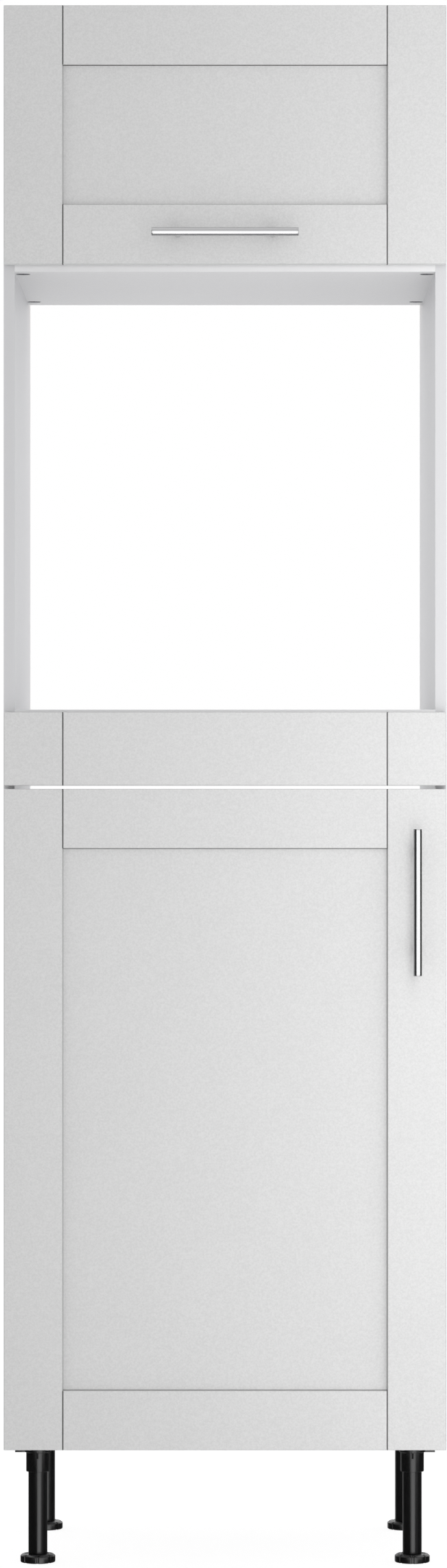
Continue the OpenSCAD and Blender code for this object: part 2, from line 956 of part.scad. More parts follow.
// A tube closed by a plug at each end; the upper plug guides the rod
module strut_cylinder() {
    difference() {
        union() {
            along_x([strut_eye_r - 0.8, 0, 0], rod_d / 2 + 0.5, tube_start - strut_eye_r + 1);
            along_x([tube_start, 0, 0], tube_d / 2, tube_len);
        }
        along_x([tube_start + plug_len, 0, 0], tube_d / 2 - tube_wall, tube_len - 2 * plug_len);
        along_x([tube_start + plug_len, 0, 0], rod_d / 2 + run_fit, tube_len);
    }
    strut_eye(stud_r + run_fit);
}

// Rod with its piston; the eye at the upper end carries the pin that faces the ear on the flap
module strut_rod() {
    translate([strut_closed - rod_len, 0, 0]) {
        along_x([0, 0, 0], rod_d / 2, rod_len - strut_eye_r + 1);
        along_x([0, 0, 0], tube_d / 2 - tube_wall - 0.3, piston_len);
    }
    translate([strut_closed, 0, 0]) {
        strut_eye(0);
        along_y([0, -strut_eye_w / 2 - pin_out, 0], stud_r, pin_out + 1);
    }
}

module strut_cylinder_left() {
    color(BLACK) on_side(-1) along_strut() strut_cylinder();
}

module strut_cylinder_right() {
    color(BLACK) on_side(1) along_strut() strut_cylinder();
}

module strut_rod_left() {
    color(STEEL) on_side(-1) along_strut() strut_rod();
}

module strut_rod_right() {
    color(STEEL) on_side(1) along_strut() strut_rod();
}

// An angle on the back of the flap's stile: a foot with two screws and an ear beside the rod's pin
module at_flap_bracket_screws() {
    for (dz = [-1, 1])
        translate([ear_x + ear_t - ear_hole_in, face_y + front_t + ear_t,
                   body_h - strut_pin[1] + dz * ear_hole_pitch / 2]) rotate([-90, 0, 0]) children();
}

module strut_flap_pilots() {
    for (side = [-1, 1])
        on_side(side) at_flap_bracket_screws() small_pilot(ear_screw_len);
}

module flap_bracket() {
    ear_v = strut_pin[0] + front_gap;
    difference() {
        board([ear_x + ear_t - ear_foot_w, face_y + front_t, body_h - strut_pin[1] - ear_foot_h / 2],
              [ear_foot_w, ear_t, ear_foot_h]);
        at_flap_bracket_screws() translate([0, 0, -2 * ear_t]) cylinder(r = small_r + fit, h = 3 * ear_t);
    }
    translate([ear_x, face_y + front_t, body_h - strut_pin[1]]) rotate([90, 0, 90])
        linear_extrude(height = ear_t) {
            polygon([[eps, -ear_root], [ear_v, -strut_eye_r], [ear_v, strut_eye_r], [eps, ear_root]]);
            translate([ear_v, 0]) circle(r = strut_eye_r);
        }
}

module strut_flap_brackets() {
    color(ZINC) for (side = [-1, 1])
        on_side(side) flap_bracket();
}

module strut_flap_screws() {
    color(ZINC) for (side = [-1, 1])
        on_side(side) at_flap_bracket_screws() small_screw(ear_screw_len);
}

// Filler brackets under the oven shelf

module at_filler_shelf_screws() {
    for (side = [-1, 1], dx = [-1, 1])
        translate([side * bracket_x + dx * (bracket_w / 2 - bracket_hole_in), front_y + bracket_leg - 10,
                   board_zs[1] - bracket_t]) rotate([180, 0, 0]) children();
}

module at_filler_front_screws() {
    for (side = [-1, 1], dx = [-1, 1])
        translate([side * bracket_x + dx * (bracket_w / 2 - bracket_hole_in), face_y + front_t + bracket_t,
                   board_zs[1] - filler_hole_z]) rotate([-90, 0, 0]) children();
}

module filler_shelf_pilots() {
    at_filler_shelf_screws() small_pilot(10);
}

module filler_front_pilots() {
    at_filler_front_screws() small_pilot(10);
}

module bracket_hole() {
    translate([0, 0, -2 * bracket_t]) cylinder(r = small_r + fit, h = 3 * bracket_t);
}

module filler_brackets() {
    color(ZINC) for (side = [-1, 1])
        difference() {
            translate([side * bracket_x - bracket_w / 2, face_y + front_t, board_zs[1]]) {
                board([0, 0, -bracket_leg], [bracket_w, bracket_t, bracket_leg]);
                board([0, 0, -bracket_t], [bracket_w, bracket_leg + front_gap, bracket_t]);
            }
            at_filler_shelf_screws() bracket_hole();
            at_filler_front_screws() bracket_hole();
        }
}

module filler_screws() {
    color(ZINC) {
        at_filler_shelf_screws() small_screw(10);
        at_filler_front_screws() small_screw(10);
    }
}

// Legs

module at_legs() {
    for (side = [-1, 1], y = leg_ys)
        translate([side * leg_x, y, 0]) mirror([side < 0 ? 1 : 0, 0, 0]) children();
}

module at_socket_screws() {
    for (x = socket_screw_xs, dy = [-1, 1])
        translate([x, dy * socket_screw_y, 0]) rotate([180, 0, 0]) children();
}

// Plan of the plate: a tongue reaches out under the side panel and a tab to the front
module socket_plan() {
    translate([-plate_half_w, -plate_front]) square([2 * plate_half_w, plate_front + plate_rear]);
    translate([-tab_w / 2, -plate_front - tab_len]) square([tab_w, tab_len + 1]);
    translate([0, -tongue_w / 2]) square([tongue_out, tongue_w]);
    translate([0, -ear_w / 2]) square([ear_out, ear_w]);
}

// A collar round the leg, a round flange with four ribs and the plate on the underside of the cabinet
module leg_socket() {
    difference() {
        union() {
            translate([0, 0, plate_low]) linear_extrude(height = leg_h - plate_low) socket_plan();
            along_z([0, 0, socket_low], socket_d / 2, plate_low - socket_low + 1);
            along_z([0, 0, flange_low], plate_half_w, flange_h + 1);
            board([0, -web_w / 2, flange_low], [tongue_out, web_w, flange_h + 1]);
            for (turn = [0, 180])
                rotate(turn) board([-rib_t / 2, 0, flange_low - rib_drop],
                                   [rib_t, rib_reach, flange_h + rib_drop + 1]);
        }
        along_z([0, 0, socket_low - 1], tube_r + fit, tube_top - socket_low + 1 + fit);
        at_socket_screws() translate([0, 0, -leg_h - 1]) cylinder(r = small_r + fit, h = leg_h + 2);
    }
}

module leg_sockets() {
    color(BLACK) at_legs() leg_socket();
}

module leg_socket_screws() {
    color(ZINC) at_legs() translate([0, 0, plate_low]) at_socket_screws()
        small_screw(socket_plate_t + socket_screw_grip);
}

module leg_tubes() {
    color(BLACK) at_legs() difference() {
        along_z([0, 0, foot_h], tube_r, tube_top - foot_h);
        along_z([0, 0, foot_h - 1], tube_bore_r, tube_top - foot_h - 3);
    }
}

// A disc with eight grip notches and a bevelled top, and the stem that screws into the tube
module foot() {
    difference() {
        union() {
            along_z([0, 0, 1], foot_d / 2, foot_h - 1 - foot_bevel_h);
            translate([0, 0, foot_h - foot_bevel_h - eps])
                cylinder(r1 = foot_d / 2, r2 = foot_d / 2 - foot_bevel_w, h = foot_bevel_h + eps);
            cylinder(r1 = foot_d / 2 - 1, r2 = foot_d / 2, h = 1 + eps);
        }
        for (turn = [0 : 45 : 315])
            rotate(turn) board([foot_d / 2 - notch_deep, -notch_w / 2, -1], [4, notch_w, foot_h + 2]);
    }
    along_z([0, 0, foot_h - 1], stem_r, stem_len + 1);
}

module foot_front_left() {
    color(BLACK) translate([-leg_x, leg_ys[0], 0]) foot();
}

module foot_front_right() {
    color(BLACK) translate([leg_x, leg_ys[0], 0]) foot();
}

module foot_rear_left() {
    color(BLACK) translate([-leg_x, leg_ys[1], 0]) foot();
}

module foot_rear_right() {
    color(BLACK) translate([leg_x, leg_ys[1], 0]) foot();
}

side_panel_left();
side_panel_right();
top_board();
upper_shelf();
oven_shelf();
base_board();
back_panel();
cam_housings();
cam_bolts();
wood_dowels();
filler_stile_left();
filler_stile_right();
filler_rail();
filler_brackets();
filler_screws();
leg_sockets();
leg_socket_screws();
leg_tubes();
foot_front_left();
foot_front_right();
foot_rear_left();
foot_rear_right();
flap_stile_left();
flap_stile_right();
flap_rail_top();
flap_rail_bottom();
flap_panel();
flap_handle_bar();
flap_handle_posts();
flap_handle_screws();
flap_bumpers();
flap_hinge_cups();
flap_cup_screws();
flap_hinge_links();
flap_hinge_arms();
flap_hinge_plates();
strut_flap_brackets();
strut_flap_screws();
strut_side_brackets();
strut_side_screws();
strut_cylinder_left();
strut_cylinder_right();
strut_rod_left();
strut_rod_right();
door_stile_left();
door_stile_right();
door_rail_top();
door_rail_bottom();
door_panel();
door_handle_bar();
door_handle_posts();
door_handle_screws();
door_bumpers();
door_hinge_cups();
door_cup_screws();
door_hinge_links();
door_hinge_arms();
door_hinge_plates();
hinge_plate_screws();
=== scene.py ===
import json
import math

import bmesh
import bpy
import numpy as np
from bpy.props import FloatProperty, FloatVectorProperty, IntProperty, PointerProperty
from bpy.types import Operator, Panel, PropertyGroup
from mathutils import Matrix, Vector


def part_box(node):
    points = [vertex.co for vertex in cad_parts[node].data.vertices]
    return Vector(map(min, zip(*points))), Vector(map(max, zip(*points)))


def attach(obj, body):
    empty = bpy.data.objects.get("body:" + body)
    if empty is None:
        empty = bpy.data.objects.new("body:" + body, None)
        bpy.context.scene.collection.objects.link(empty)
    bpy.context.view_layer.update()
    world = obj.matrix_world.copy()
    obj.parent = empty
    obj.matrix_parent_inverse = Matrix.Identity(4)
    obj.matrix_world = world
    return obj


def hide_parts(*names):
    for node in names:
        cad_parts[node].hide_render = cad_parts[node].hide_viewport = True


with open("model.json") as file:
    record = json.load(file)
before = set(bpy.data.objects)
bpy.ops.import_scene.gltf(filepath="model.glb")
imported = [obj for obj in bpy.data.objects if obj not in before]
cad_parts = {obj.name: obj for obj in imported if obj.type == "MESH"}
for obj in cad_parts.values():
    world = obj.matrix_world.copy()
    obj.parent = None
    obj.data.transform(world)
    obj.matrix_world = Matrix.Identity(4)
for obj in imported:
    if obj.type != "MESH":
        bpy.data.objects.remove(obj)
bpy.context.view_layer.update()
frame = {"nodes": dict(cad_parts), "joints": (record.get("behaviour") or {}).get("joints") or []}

bl_info = {
    "name": "Tall housing unit",
    "version": (1, 0, 0),
    "blender": (4, 5, 0),
    "location": "View3D > Sidebar > Housing unit",
    "description": "Dresses a tall kitchen housing unit: boards, fronts, handles, hinges, struts and legs",
    "category": "Object",
}

MM = 0.001


def linear(code):
    """Turns an sRGB hex code into linear red, green, blue and an alpha of 1."""
    parts = np.array([int(code[i:i + 2], 16) for i in (1, 3, 5)]) / 255
    low = parts / 12.92
    high = ((parts + 0.055) / 1.055) ** 2.4
    return tuple(float(v) for v in np.where(parts <= 0.04045, low, high)) + (1.0,)


def colour(name, code, note):
    """A colour that a user may change, with its default given as a hex code."""
    return FloatVectorProperty(name=name, description="Colour of " + note, subtype="COLOR", size=4, min=0,
                               max=1, default=linear(code))


def length(name, millimetres, note):
    """A length that a user may change, with its default given in millimetres."""
    return FloatProperty(name=name, description=note, default=millimetres * MM, min=0, soft_max=1,
                         precision=5, unit="LENGTH")


def amount(name, default, note):
    """A brightness or a power that a user may change."""
    return FloatProperty(name=name, description=note, default=default, min=0)


# Measuring the CAD nodes

def corners(node):
    """Lowest and highest corner of a CAD node in millimetres."""
    low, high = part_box(node)
    return np.array(low) / MM, np.array(high) / MM


def vertices(node):
    """All the vertices of a CAD node in millimetres, as one array."""
    mesh = frame["nodes"][node].data
    flat = np.empty(len(mesh.vertices) * 3)
    mesh.vertices.foreach_get("co", flat)
    return flat.reshape(-1, 3) / MM


def solids(node):
    """The separate solids of a CAD node, as vertex arrays sorted by place. Vertices that coincide get one
    number, and the lowest number spreads over each triangle until it settles."""
    mesh = frame["nodes"][node].data
    mesh.calc_loop_triangles()
    triangles = np.empty(len(mesh.loop_triangles) * 3, int)
    mesh.loop_triangles.foreach_get("vertices", triangles)
    points, merged = np.unique(vertices(node).round(3), axis=0, return_inverse=True)
    triangles = merged.reshape(-1)[triangles].reshape(-1, 3)
    label = np.arange(len(points))
    while True:
        lowest = label[triangles].min(1)
        spread = label.copy()
        for corner in range(3):
            np.minimum.at(spread, triangles[:, corner], lowest)
        spread = spread[spread]
        if (spread == label).all():
            break
        label = spread
    found = [points[label == value] for value in np.unique(label)]
    return sorted(found, key=lambda p: tuple(p.min(0).round(1)))


def extent(points):
    """Lowest corner, highest corner and middle of some points."""
    low, high = points.min(0), points.max(0)
    return low, high, (low + high) / 2


# Surfaces as arrays

def shell(points, ring=False):
    """A grid of points, rows by columns, as a closed surface: its points, quads and caps. Each row closes to
    a circle. Flat caps lie over the first and the last row, or those two meet if it is a ring."""
    rows, columns = points.shape[:2]
    row, column = np.meshgrid(np.arange(rows if ring else rows - 1), np.arange(columns), indexing="ij")
    after_row, after_column = (row + 1) % rows, (column + 1) % columns
    quads = [row * columns + column, row * columns + after_column,
             after_row * columns + after_column, after_row * columns + column]
    first = np.arange(columns)
    caps = [] if ring else [first[::-1], first + (rows - 1) * columns]
    return points.reshape(-1, 3), np.stack(quads, -1).reshape(-1, 4), caps


def directions(axis):
    """A unit vector along the axis and two more that make a right-handed set with it."""
    along = np.array(axis, float) / np.linalg.norm(axis)
    start = np.array([0, 0, 1.0]) if abs(along[2]) < 0.9 else np.array([1.0, 0, 0])
    across = np.cross(start, along)
    across /= np.linalg.norm(across)
    return along, across, np.cross(along, across)


def turned(profile, base, axis, count, ring=False, shape=None):
    """Surface of revolution. A point is the base, plus its height along the axis, plus its radius times the
    direction at its angle round the axis. profile lists (height, radius); shape may change the radii as a
    function of the angle, the height and the radius. Flat caps close the ends unless it is a ring."""
    along, across, up = directions(axis)
    height, radius = np.array(profile, float).T[:, :, None]
    angle = np.arange(count)[None, :] * (2 * math.pi / count)
    radius = radius + 0 * angle
    if shape:
        radius = shape(angle, height, radius)
    round_axis = np.cos(angle)[..., None] * across + np.sin(angle)[..., None] * up
    points = np.array(base, float) + height[..., None] * along + radius[..., None] * round_axis
    return shell(points, ring)


def rounding(height, radius, size, start, end, steps=4):
    """Part of a circle in a profile: size times the cosine and the sine, from one angle to another."""
    angle = np.radians(np.linspace(start, end, steps + 1))
    return [(height + size * math.sin(a), radius + size * math.cos(a)) for a in angle]


def softened(outline, size):
    """An outline whose corners become arcs of four steps: each is (1-t)^2 A + 2t(1-t) V + t^2 B, where V is
    the corner and A and B lie at the given distance from it on the two edges."""
    corner = np.array(outline, float)
    before, after = np.roll(corner, 1, 0) - corner, np.roll(corner, -1, 0) - corner
    reach_a = np.minimum(size, np.linalg.norm(before, axis=1) * 0.45)[:, None]
    reach_b = np.minimum(size, np.linalg.norm(after, axis=1) * 0.45)[:, None]
    a = corner + before / np.linalg.norm(before, axis=1)[:, None] * reach_a
    b = corner + after / np.linalg.norm(after, axis=1)[:, None] * reach_b
    t = np.linspace(0, 1, 5)[None, :, None]
    arcs = (1 - t) ** 2 * a[:, None] + 2 * t * (1 - t) * corner[:, None] + t ** 2 * b[:, None]
    return arcs.reshape(-1, 2)


def inset(outline, distance):
    """The outline moved inwards: each corner goes against the sum of its two edge normals, lengthened so
    that both edges move by the distance."""
    edge = np.roll(outline, -1, 0) - outline
    normal = np.stack([edge[:, 1], -edge[:, 0]], 1)
    normal /= np.maximum(np.linalg.norm(normal, axis=1), 1e-9)[:, None]
    pair = normal + np.roll(normal, 1, 0)
    size = 1 + (normal * np.roll(normal, 1, 0)).sum(1)
    return outline - distance * pair / np.maximum(size, 0.4)[:, None]


def plate(outline, low, high, edge, origin, axis, across):
    """A flat piece: the outline carried along the axis from low to high. At both faces the outline draws in
    by edge times one minus the sine, while the height changes by edge times one minus the cosine."""
    along = np.array(axis, float)
    across = np.array(across, float)
    side = np.cross(along, across)
    angle = np.radians([0, 30, 60, 90])
    insets = np.concatenate([edge * (1 - np.sin(angle)), edge * (1 - np.sin(angle[::-1]))])
    heights = np.concatenate([low + edge * (1 - np.cos(angle)),
                              high - edge * (1 - np.cos(angle[::-1]))])
    outline = np.array(outline, float)
    rings = np.stack([inset(outline, d) for d in insets])
    return shell(np.array(origin, float) + rings[..., :1] * across + rings[..., 1:] * side
                 + heights[:, None, None] * along)


def recessed_disc(centre, axis, radius, thickness, dome, arm, width, depth, turn=0.0, ring=0.0, count=48):
    """A round head with a cross recess. Its face is a height over the radius and the angle: a dome that
    falls with the square of the radius, less the depth wherever a point lies in one of the two arms, whose
    walls slope a little, and less a shallow trough round the rim if ring is given. The rim falls off by 2
    and 8 hundredths of the radius, and the wall goes down by the thickness."""
    along, across, up = directions(axis)
    steps = np.concatenate([np.linspace(radius * 0.03, radius * 0.94, 18), [radius * 0.985, radius, radius]])
    angle = np.arange(count) * (2 * math.pi / count)
    r, a = np.meshgrid(steps, angle, indexing="ij")
    x, y = r * np.cos(a + turn), r * np.sin(a + turn)
    near, far = np.minimum(abs(x), abs(y)), np.maximum(abs(x), abs(y))
    inside = np.clip((width / 2 - near) / (0.12 * width) + 0.5, 0, 1)
    inside = inside * np.clip((arm - far) / 0.3 + 0.5, 0, 1)
    height = dome * (1 - (r / radius) ** 2) - dome - depth * inside
    if ring:
        height = height - ring * np.clip(1.5 - abs(r / radius - 0.8) / 0.08, 0, 1)
    height[-3] = height[-3] - 0.02 * radius
    height[-2] = height[-2] - 0.08 * radius
    height[-1] = -thickness
    points = (np.array(centre, float) + x[..., None] * across + y[..., None] * up
              + height[..., None] * along)
    return shell(points[::-1])


def threaded(base, axis, low, high, radius, pitch, depth, count):
    """A screwed rod: its radius falls and rises with the fraction of a turn by which the height, counted in
    pitches, is ahead of the angle."""
    rows = max(8, int((high - low) / pitch * 6))
    heights = np.linspace(low, high, rows)

    def thread(angle, height, round_radius):
        phase = (height / pitch - angle / (2 * math.pi)) % 1
        return round_radius - depth * abs(2 * phase - 1)

    return turned([(h, radius) for h in heights], base, axis, count, shape=thread)


def linked(name, data):
    """A new object of the scene with that data."""
    made = bpy.data.objects.new(name, data)
    bpy.context.scene.collection.objects.link(made)
    return made


def add_piece(name, shells, key, body, replaced):
    """Joins shells into one mesh in metres, gives it its finish and seats it on its CAD body."""
    mesh = bpy.data.meshes.new(name)
    starts = np.cumsum([0] + [len(points) for points, quads, caps in shells])
    faces = []
    for (points, quads, caps), start in zip(shells, starts):
        faces += (quads + start).tolist() + [(cap + start).tolist() for cap in caps]
    mesh.from_pydata((np.concatenate([points for points, quads, caps in shells]) * MM).tolist(), [], faces)
    seat(name, mesh, key, body, replaced, 32)


def seat(name, mesh, key, body, replaced, smooth):
    """Shades the mesh smooth where faces meet at less than the angle, makes its object, gives it the
    finish with that key and its body, and hides the nodes that it stands for."""
    mesh.polygons.foreach_set("use_smooth", np.ones(len(mesh.polygons), bool))
    mesh.set_sharp_from_angle(angle=math.radians(smooth))
    mesh.materials.clear()
    mesh.materials.append(finish(key))
    mesh.validate()
    made = linked(name, mesh)
    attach(made, body)
    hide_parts(*replaced)
    return made


def pressed(node, name, key, body, round_edge):
    """A copy of a CAD node whose sharp edges are rounded, as a pressed or moulded piece has them. Its loose
    triangles are merged first, and flat neighbours are joined into one face."""
    mesh = frame["nodes"][node].data.copy()
    work = bmesh.new()
    work.from_mesh(mesh)
    bmesh.ops.remove_doubles(work, verts=work.verts, dist=2e-6)
    bmesh.ops.dissolve_limit(work, angle_limit=math.radians(1), verts=work.verts, edges=work.edges)
    work.to_mesh(mesh)
    work.free()
    made = seat(name, mesh, key, body, [node], 30)
    bevel = made.modifiers.new("Rounded edges", "BEVEL")
    bevel.width = round_edge
    bevel.segments = 2
    bevel.limit_method = "ANGLE"
    bevel.angle_limit = math.radians(35)
    bevel.use_clamp_overlap = True
    bevel.harden_normals = True


# Finishes

def add(tree, kind, values=(), links=()):
    """Adds a node. values are its settings and socket values, a ramp's as pairs of place and colour, and
    links feed its sockets from (node, output)."""
    made = tree.nodes.new("ShaderNode" + kind)
    for key, value in dict(values).items():
        if key == "ramp":
            for element, (position, tone) in zip(made.color_ramp.elements, value):
                element.position, element.color = position, tone
        elif isinstance(key, int) or key in made.inputs:
            made.inputs[key].default_value = value
        else:
            setattr(made, key, value)
    for key, (source, output) in dict(links).items():
        tree.links.new(source.outputs[output], made.inputs[key])
    return made


def empty_tree(holder):
    """The node tree of a material or a world, switched on and emptied."""
    holder.use_nodes = True
    holder.node_tree.nodes.clear()
    return holder.node_tree


def new_finish(name):
    """A material, its empty tree and the object coordinates that its patterns read."""
    made = bpy.data.materials.new(name)
    tree = empty_tree(made)
    return made, tree, (add(tree, "TexCoord"), "Object")


def shade(made, uniform, links):
    """Ends a material with its shader, which has on its own sockets what is the same all over."""
    shader = add(made.node_tree, "BsdfPrincipled", uniform, links)
    add(made.node_tree, "OutputMaterial", links={"Surface": (shader, "BSDF")})
    return made


def shaded(base, factor):
    """The colour times a factor, within 0 to 1."""
    return tuple(min(1.0, base[i] * factor) for i in range(3)) + (1.0,)


def frame_joints_and_painted_shade(tree, where):
    """Mask of the fine joints between rails and stiles, below the face of the fronts, partly real joints and
    partly painted shade on the stiles' inner walls, and of a painted shade along the rim under the filler."""
    face = corners("door_stile_left")[0][1]
    joint = corners("door_stile_right")[0][0]
    # Painted shade and joint: a dark band along the stiles' inner edges, behind the face of the fronts
    across = add(tree, "Math", {"operation": "ABSOLUTE"}, {0: (where, "X")})
    beside = add(tree, "Math", {"operation": "COMPARE", 1: joint * MM, 2: 0.8 * MM}, {0: (across, 0)})
    below = add(tree, "Math", {"operation": "GREATER_THAN", 1: (face + 0.3) * MM}, {0: (where, "Y")})
    joints = add(tree, "Math", {"operation": "MULTIPLY"}, {0: (beside, 0), 1: (below, 0)})
    # Painted shade is kept weak beside the centre panels on the left stile's inner edge, which faces the
    # light
    pale = add(tree, "Math", {"operation": "LESS_THAN", 1: 0.0}, {0: (where, "X")})
    for front in ("door", "flap"):
        low, high = rail_edge(front + "_rail_bottom", 1) * MM, rail_edge(front + "_rail_top", 0) * MM
        span = add(tree, "Math", {"operation": "COMPARE", 1: (low + high) / 2, 2: (high - low) / 2},
                   {0: (where, "Z")})
        span = add(tree, "Math", {"operation": "MULTIPLY"}, {0: (span, 0), 1: (pale, 0)})
        span = add(tree, "Math", {"operation": "MULTIPLY_ADD", 1: -0.8, 2: 1.0}, {0: (span, 0)})
        joints = add(tree, "Math", {"operation": "MULTIPLY"}, {0: (joints, 0), 1: (span, 0)})
    # Painted shade along the filler's bottom edge, as if its underside were in shadow
    edge = (corners("filler_rail")[0][2] + 0.5) * MM
    rim = add(tree, "Math", {"operation": "COMPARE", 1: edge, 2: 0.5 * MM}, {0: (where, "Z")})
    rim = add(tree, "Math", {"operation": "MULTIPLY", 1: 0.3}, {0: (rim, 0)})
    return add(tree, "Math", {"operation": "MAXIMUM"}, {0: (joints, 0), 1: (rim, 0)})


def panel_joints_and_painted_shade(tree, where):
    """Mask of the fine joints between the centre panels and their frames, partly real joints and partly
    painted shade cast by the frames' steps onto the panels. Each line has a place across or up, a middle in
    millimetres and a weight set by how the light falls: the joint on the right catches light and shows least."""
    joint = corners("door_stile_right")[0][0]
    # Painted shade: the weights follow the light, darkest under the top rail, where the rail's shadow falls
    lines = [("X", joint - 0.3, 0.18), ("X", 0.4 - joint, 0.3)]
    for front in ("door", "flap"):
        lines += [("Z", rail_edge(front + "_rail_top", 0) - 0.5, 1.0),
                  ("Z", rail_edge(front + "_rail_bottom", 1) + 0.5, 0.75)]
    mask = None
    for axis, middle, weight in lines:
        line = add(tree, "Math", {"operation": "COMPARE", 1: middle * MM, 2: 0.55 * MM}, {0: (where, axis)})
        line = add(tree, "Math", {"operation": "MULTIPLY", 1: weight}, {0: (line, 0)})
        if mask:
            line = add(tree, "Math", {"operation": "MAXIMUM"}, {0: (mask, 0), 1: (line, 0)})
        mask = line
    return mask


def rail_edge(node, corner):
    """Height of a rail's visible lower or upper edge, 0 or 1, beside the centre panel."""
    return float(corners(node)[corner][2])


def foil_finish(name, tone, joints):
    """PVC foil wrapped on MDF under heat and vacuum: an even satin coat. Its fine embossed grain breaks up
    highlights and mottles the colour a little, and the board swells slowly under it. The fine joints of the
    frame are darkened by a mask, partly as real joints and partly as painted shade in the grooves and steps."""
    made, tree, place = new_finish(name)
    # Embossing 2.5 mm apart, drawn coarser than the real 0.8 mm so that it shows
    grain = add(tree, "TexNoise", {"Scale": 1 / (2.5 * MM), "Detail": 2.0, "Roughness": 0.6},
                {"Vector": place})
    cloud = add(tree, "TexNoise", {"Scale": 1 / (90 * MM), "Detail": 2.0}, {"Vector": place})
    # Grain and cloud add up to about 2, and the range round it runs the colour from dark to light
    swell = add(tree, "Math", {"operation": "MULTIPLY_ADD", 1: 0.4, 2: 0.3}, {0: (cloud, "Fac")})
    mixed = add(tree, "Math", {"operation": "MULTIPLY_ADD", 1: 3.0}, {0: (grain, "Fac"), 2: (swell, 0)})
    mixed = add(tree, "MapRange", {"From Min": 1.4, "From Max": 2.6}, {"Value": (mixed, 0)})
    tint = add(tree, "ValToRGB", {"ramp": [(0, shaded(tone, 0.943)), (1, shaded(tone, 1.052))]},
               {"Fac": (mixed, 0)})
    where = add(tree, "SeparateXYZ", links={0: place})
    # Painted shade and joint lines: where the mask is set, the colour darkens towards 12 per cent of the tone
    dark = add(tree, "Mix", {"data_type": "RGBA", 7: shaded(tone, 0.12)},
               {0: (joints(tree, where), 0), 6: (tint, "Color")})
    gloss = add(tree, "MapRange", {"To Min": 0.34, "To Max": 0.44}, {"Value": (grain, "Fac")})
    relief = add(tree, "Bump", {"Strength": 0.35, "Distance": 0.02 * MM}, {"Height": (grain, "Fac")})
    return shade(made, {"IOR": 1.5}, {"Base Color": (dark, 2), "Roughness": (gloss, "Result"),
                                      "Normal": (relief, "Normal")})


def melamine_finish(name, tone, edging, core, raw_from):
    """Paper soaked in resin and pressed on board: a hard matt skin with a pearl texture. The front edges
    carry a plastic edging of their own tone. Faces to the rear beyond raw_from stay raw, so chips or fibres
    of many browns show there."""
    made, tree, place = new_finish(name)
    # Pearl texture of the press plate, 0.7 mm in reality and drawn at 2 mm so that it shows
    pearl = add(tree, "TexNoise", {"Scale": 1 / (2 * MM), "Detail": 2.0}, {"Vector": place})
    skin = add(tree, "ValToRGB", {"ramp": [(0.3, shaded(tone, 0.955)), (0.7, shaded(tone, 1.03))]},
               {"Fac": (pearl, "Fac")})
    # Chips 1 to 4 mm long
    chips = add(tree, "TexVoronoi", {"Scale": 1 / (2.2 * MM)}, {"Vector": place})
    browns = add(tree, "ValToRGB", {"ramp": [(0, shaded(core, 0.55)), (1, shaded(core, 1.25))]},
                 {"Fac": (chips, "Color")})
    facing = add(tree, "SeparateXYZ", links={0: (place[0], "Normal")})
    where = add(tree, "SeparateXYZ", links={0: place})
    front = add(tree, "Math", {"operation": "LESS_THAN", 1: -0.5}, {0: (facing, "Y")})
    skin = add(tree, "Mix", {"data_type": "RGBA", 7: edging}, {0: (front, 0), 6: (skin, "Color")})
    rear = add(tree, "Math", {"operation": "GREATER_THAN", 1: 0.5}, {0: (facing, "Y")})
    behind = add(tree, "Math", {"operation": "GREATER_THAN", 1: raw_from}, {0: (where, "Y")})
    raw = add(tree, "Math", {"operation": "MULTIPLY"}, {0: (rear, 0), 1: (behind, 0)})
    both = add(tree, "Mix", {"data_type": "RGBA"}, {0: (raw, 0), 6: (skin, 2), 7: (browns, "Color")})
    rough = add(tree, "MapRange", {"To Min": 0.46, "To Max": 0.9}, {"Value": (raw, 0)})
    relief = add(tree, "Bump", {"Strength": 0.4, "Distance": 0.02 * MM}, {"Height": (pearl, "Fac")})
    return shade(made, {}, {"Base Color": (both, 2), "Roughness": (rough, "Result"),
                            "Normal": (relief, "Normal")})


def grained_finish(name, tone, grain, shades, relief, gloss=None, detail=3.0, ends=(0, 1), uniform=()):
    """A surface with one grain, whose size along X, Y and Z is given in millimetres. The grain runs the
    colour between two shades of the tone and the roughness between the two of gloss, if given, and raises a
    relief of a strength and a height in millimetres. uniform holds the numbers that are the same all over."""
    made, tree, place = new_finish(name)
    sized = add(tree, "Mapping", {"Scale": [1 / (size * MM) for size in grain]}, {"Vector": place})
    noise = add(tree, "TexNoise", {"Scale": 1.0, "Detail": detail}, {"Vector": (sized, "Vector")})
    ramp = [(end, shaded(tone, factor)) for end, factor in zip(ends, shades)]
    tint = add(tree, "ValToRGB", {"ramp": ramp}, {"Fac": (noise, "Fac")})
    strength, height = relief
    dents = add(tree, "Bump", {"Strength": strength, "Distance": height * MM}, {"Height": (noise, "Fac")})
    links = {"Base Color": (tint, "Color"), "Normal": (dents, "Normal")}
    if gloss:
        rough = add(tree, "MapRange", {"To Min": gloss[0], "To Max": gloss[1]}, {"Value": (noise, "Fac")})
        links["Roughness"] = (rough, "Result")
    return shade(made, uniform, links)


def bumper_finish(name, tone):
    """Clear cast polyurethane: milky and slightly see-through, with a soft gloss."""
    made, tree, place = new_finish(name)
    haze = add(tree, "TexNoise", {"Scale": 1 / (2 * MM)}, {"Vector": place})
    gloss = add(tree, "MapRange", {"To Min": 0.14, "To Max": 0.26}, {"Value": (haze, "Fac")})
    return shade(made, {"Base Color": tone, "Transmission Weight": 0.55, "IOR": 1.49},
                 {"Roughness": (gloss, "Result")})


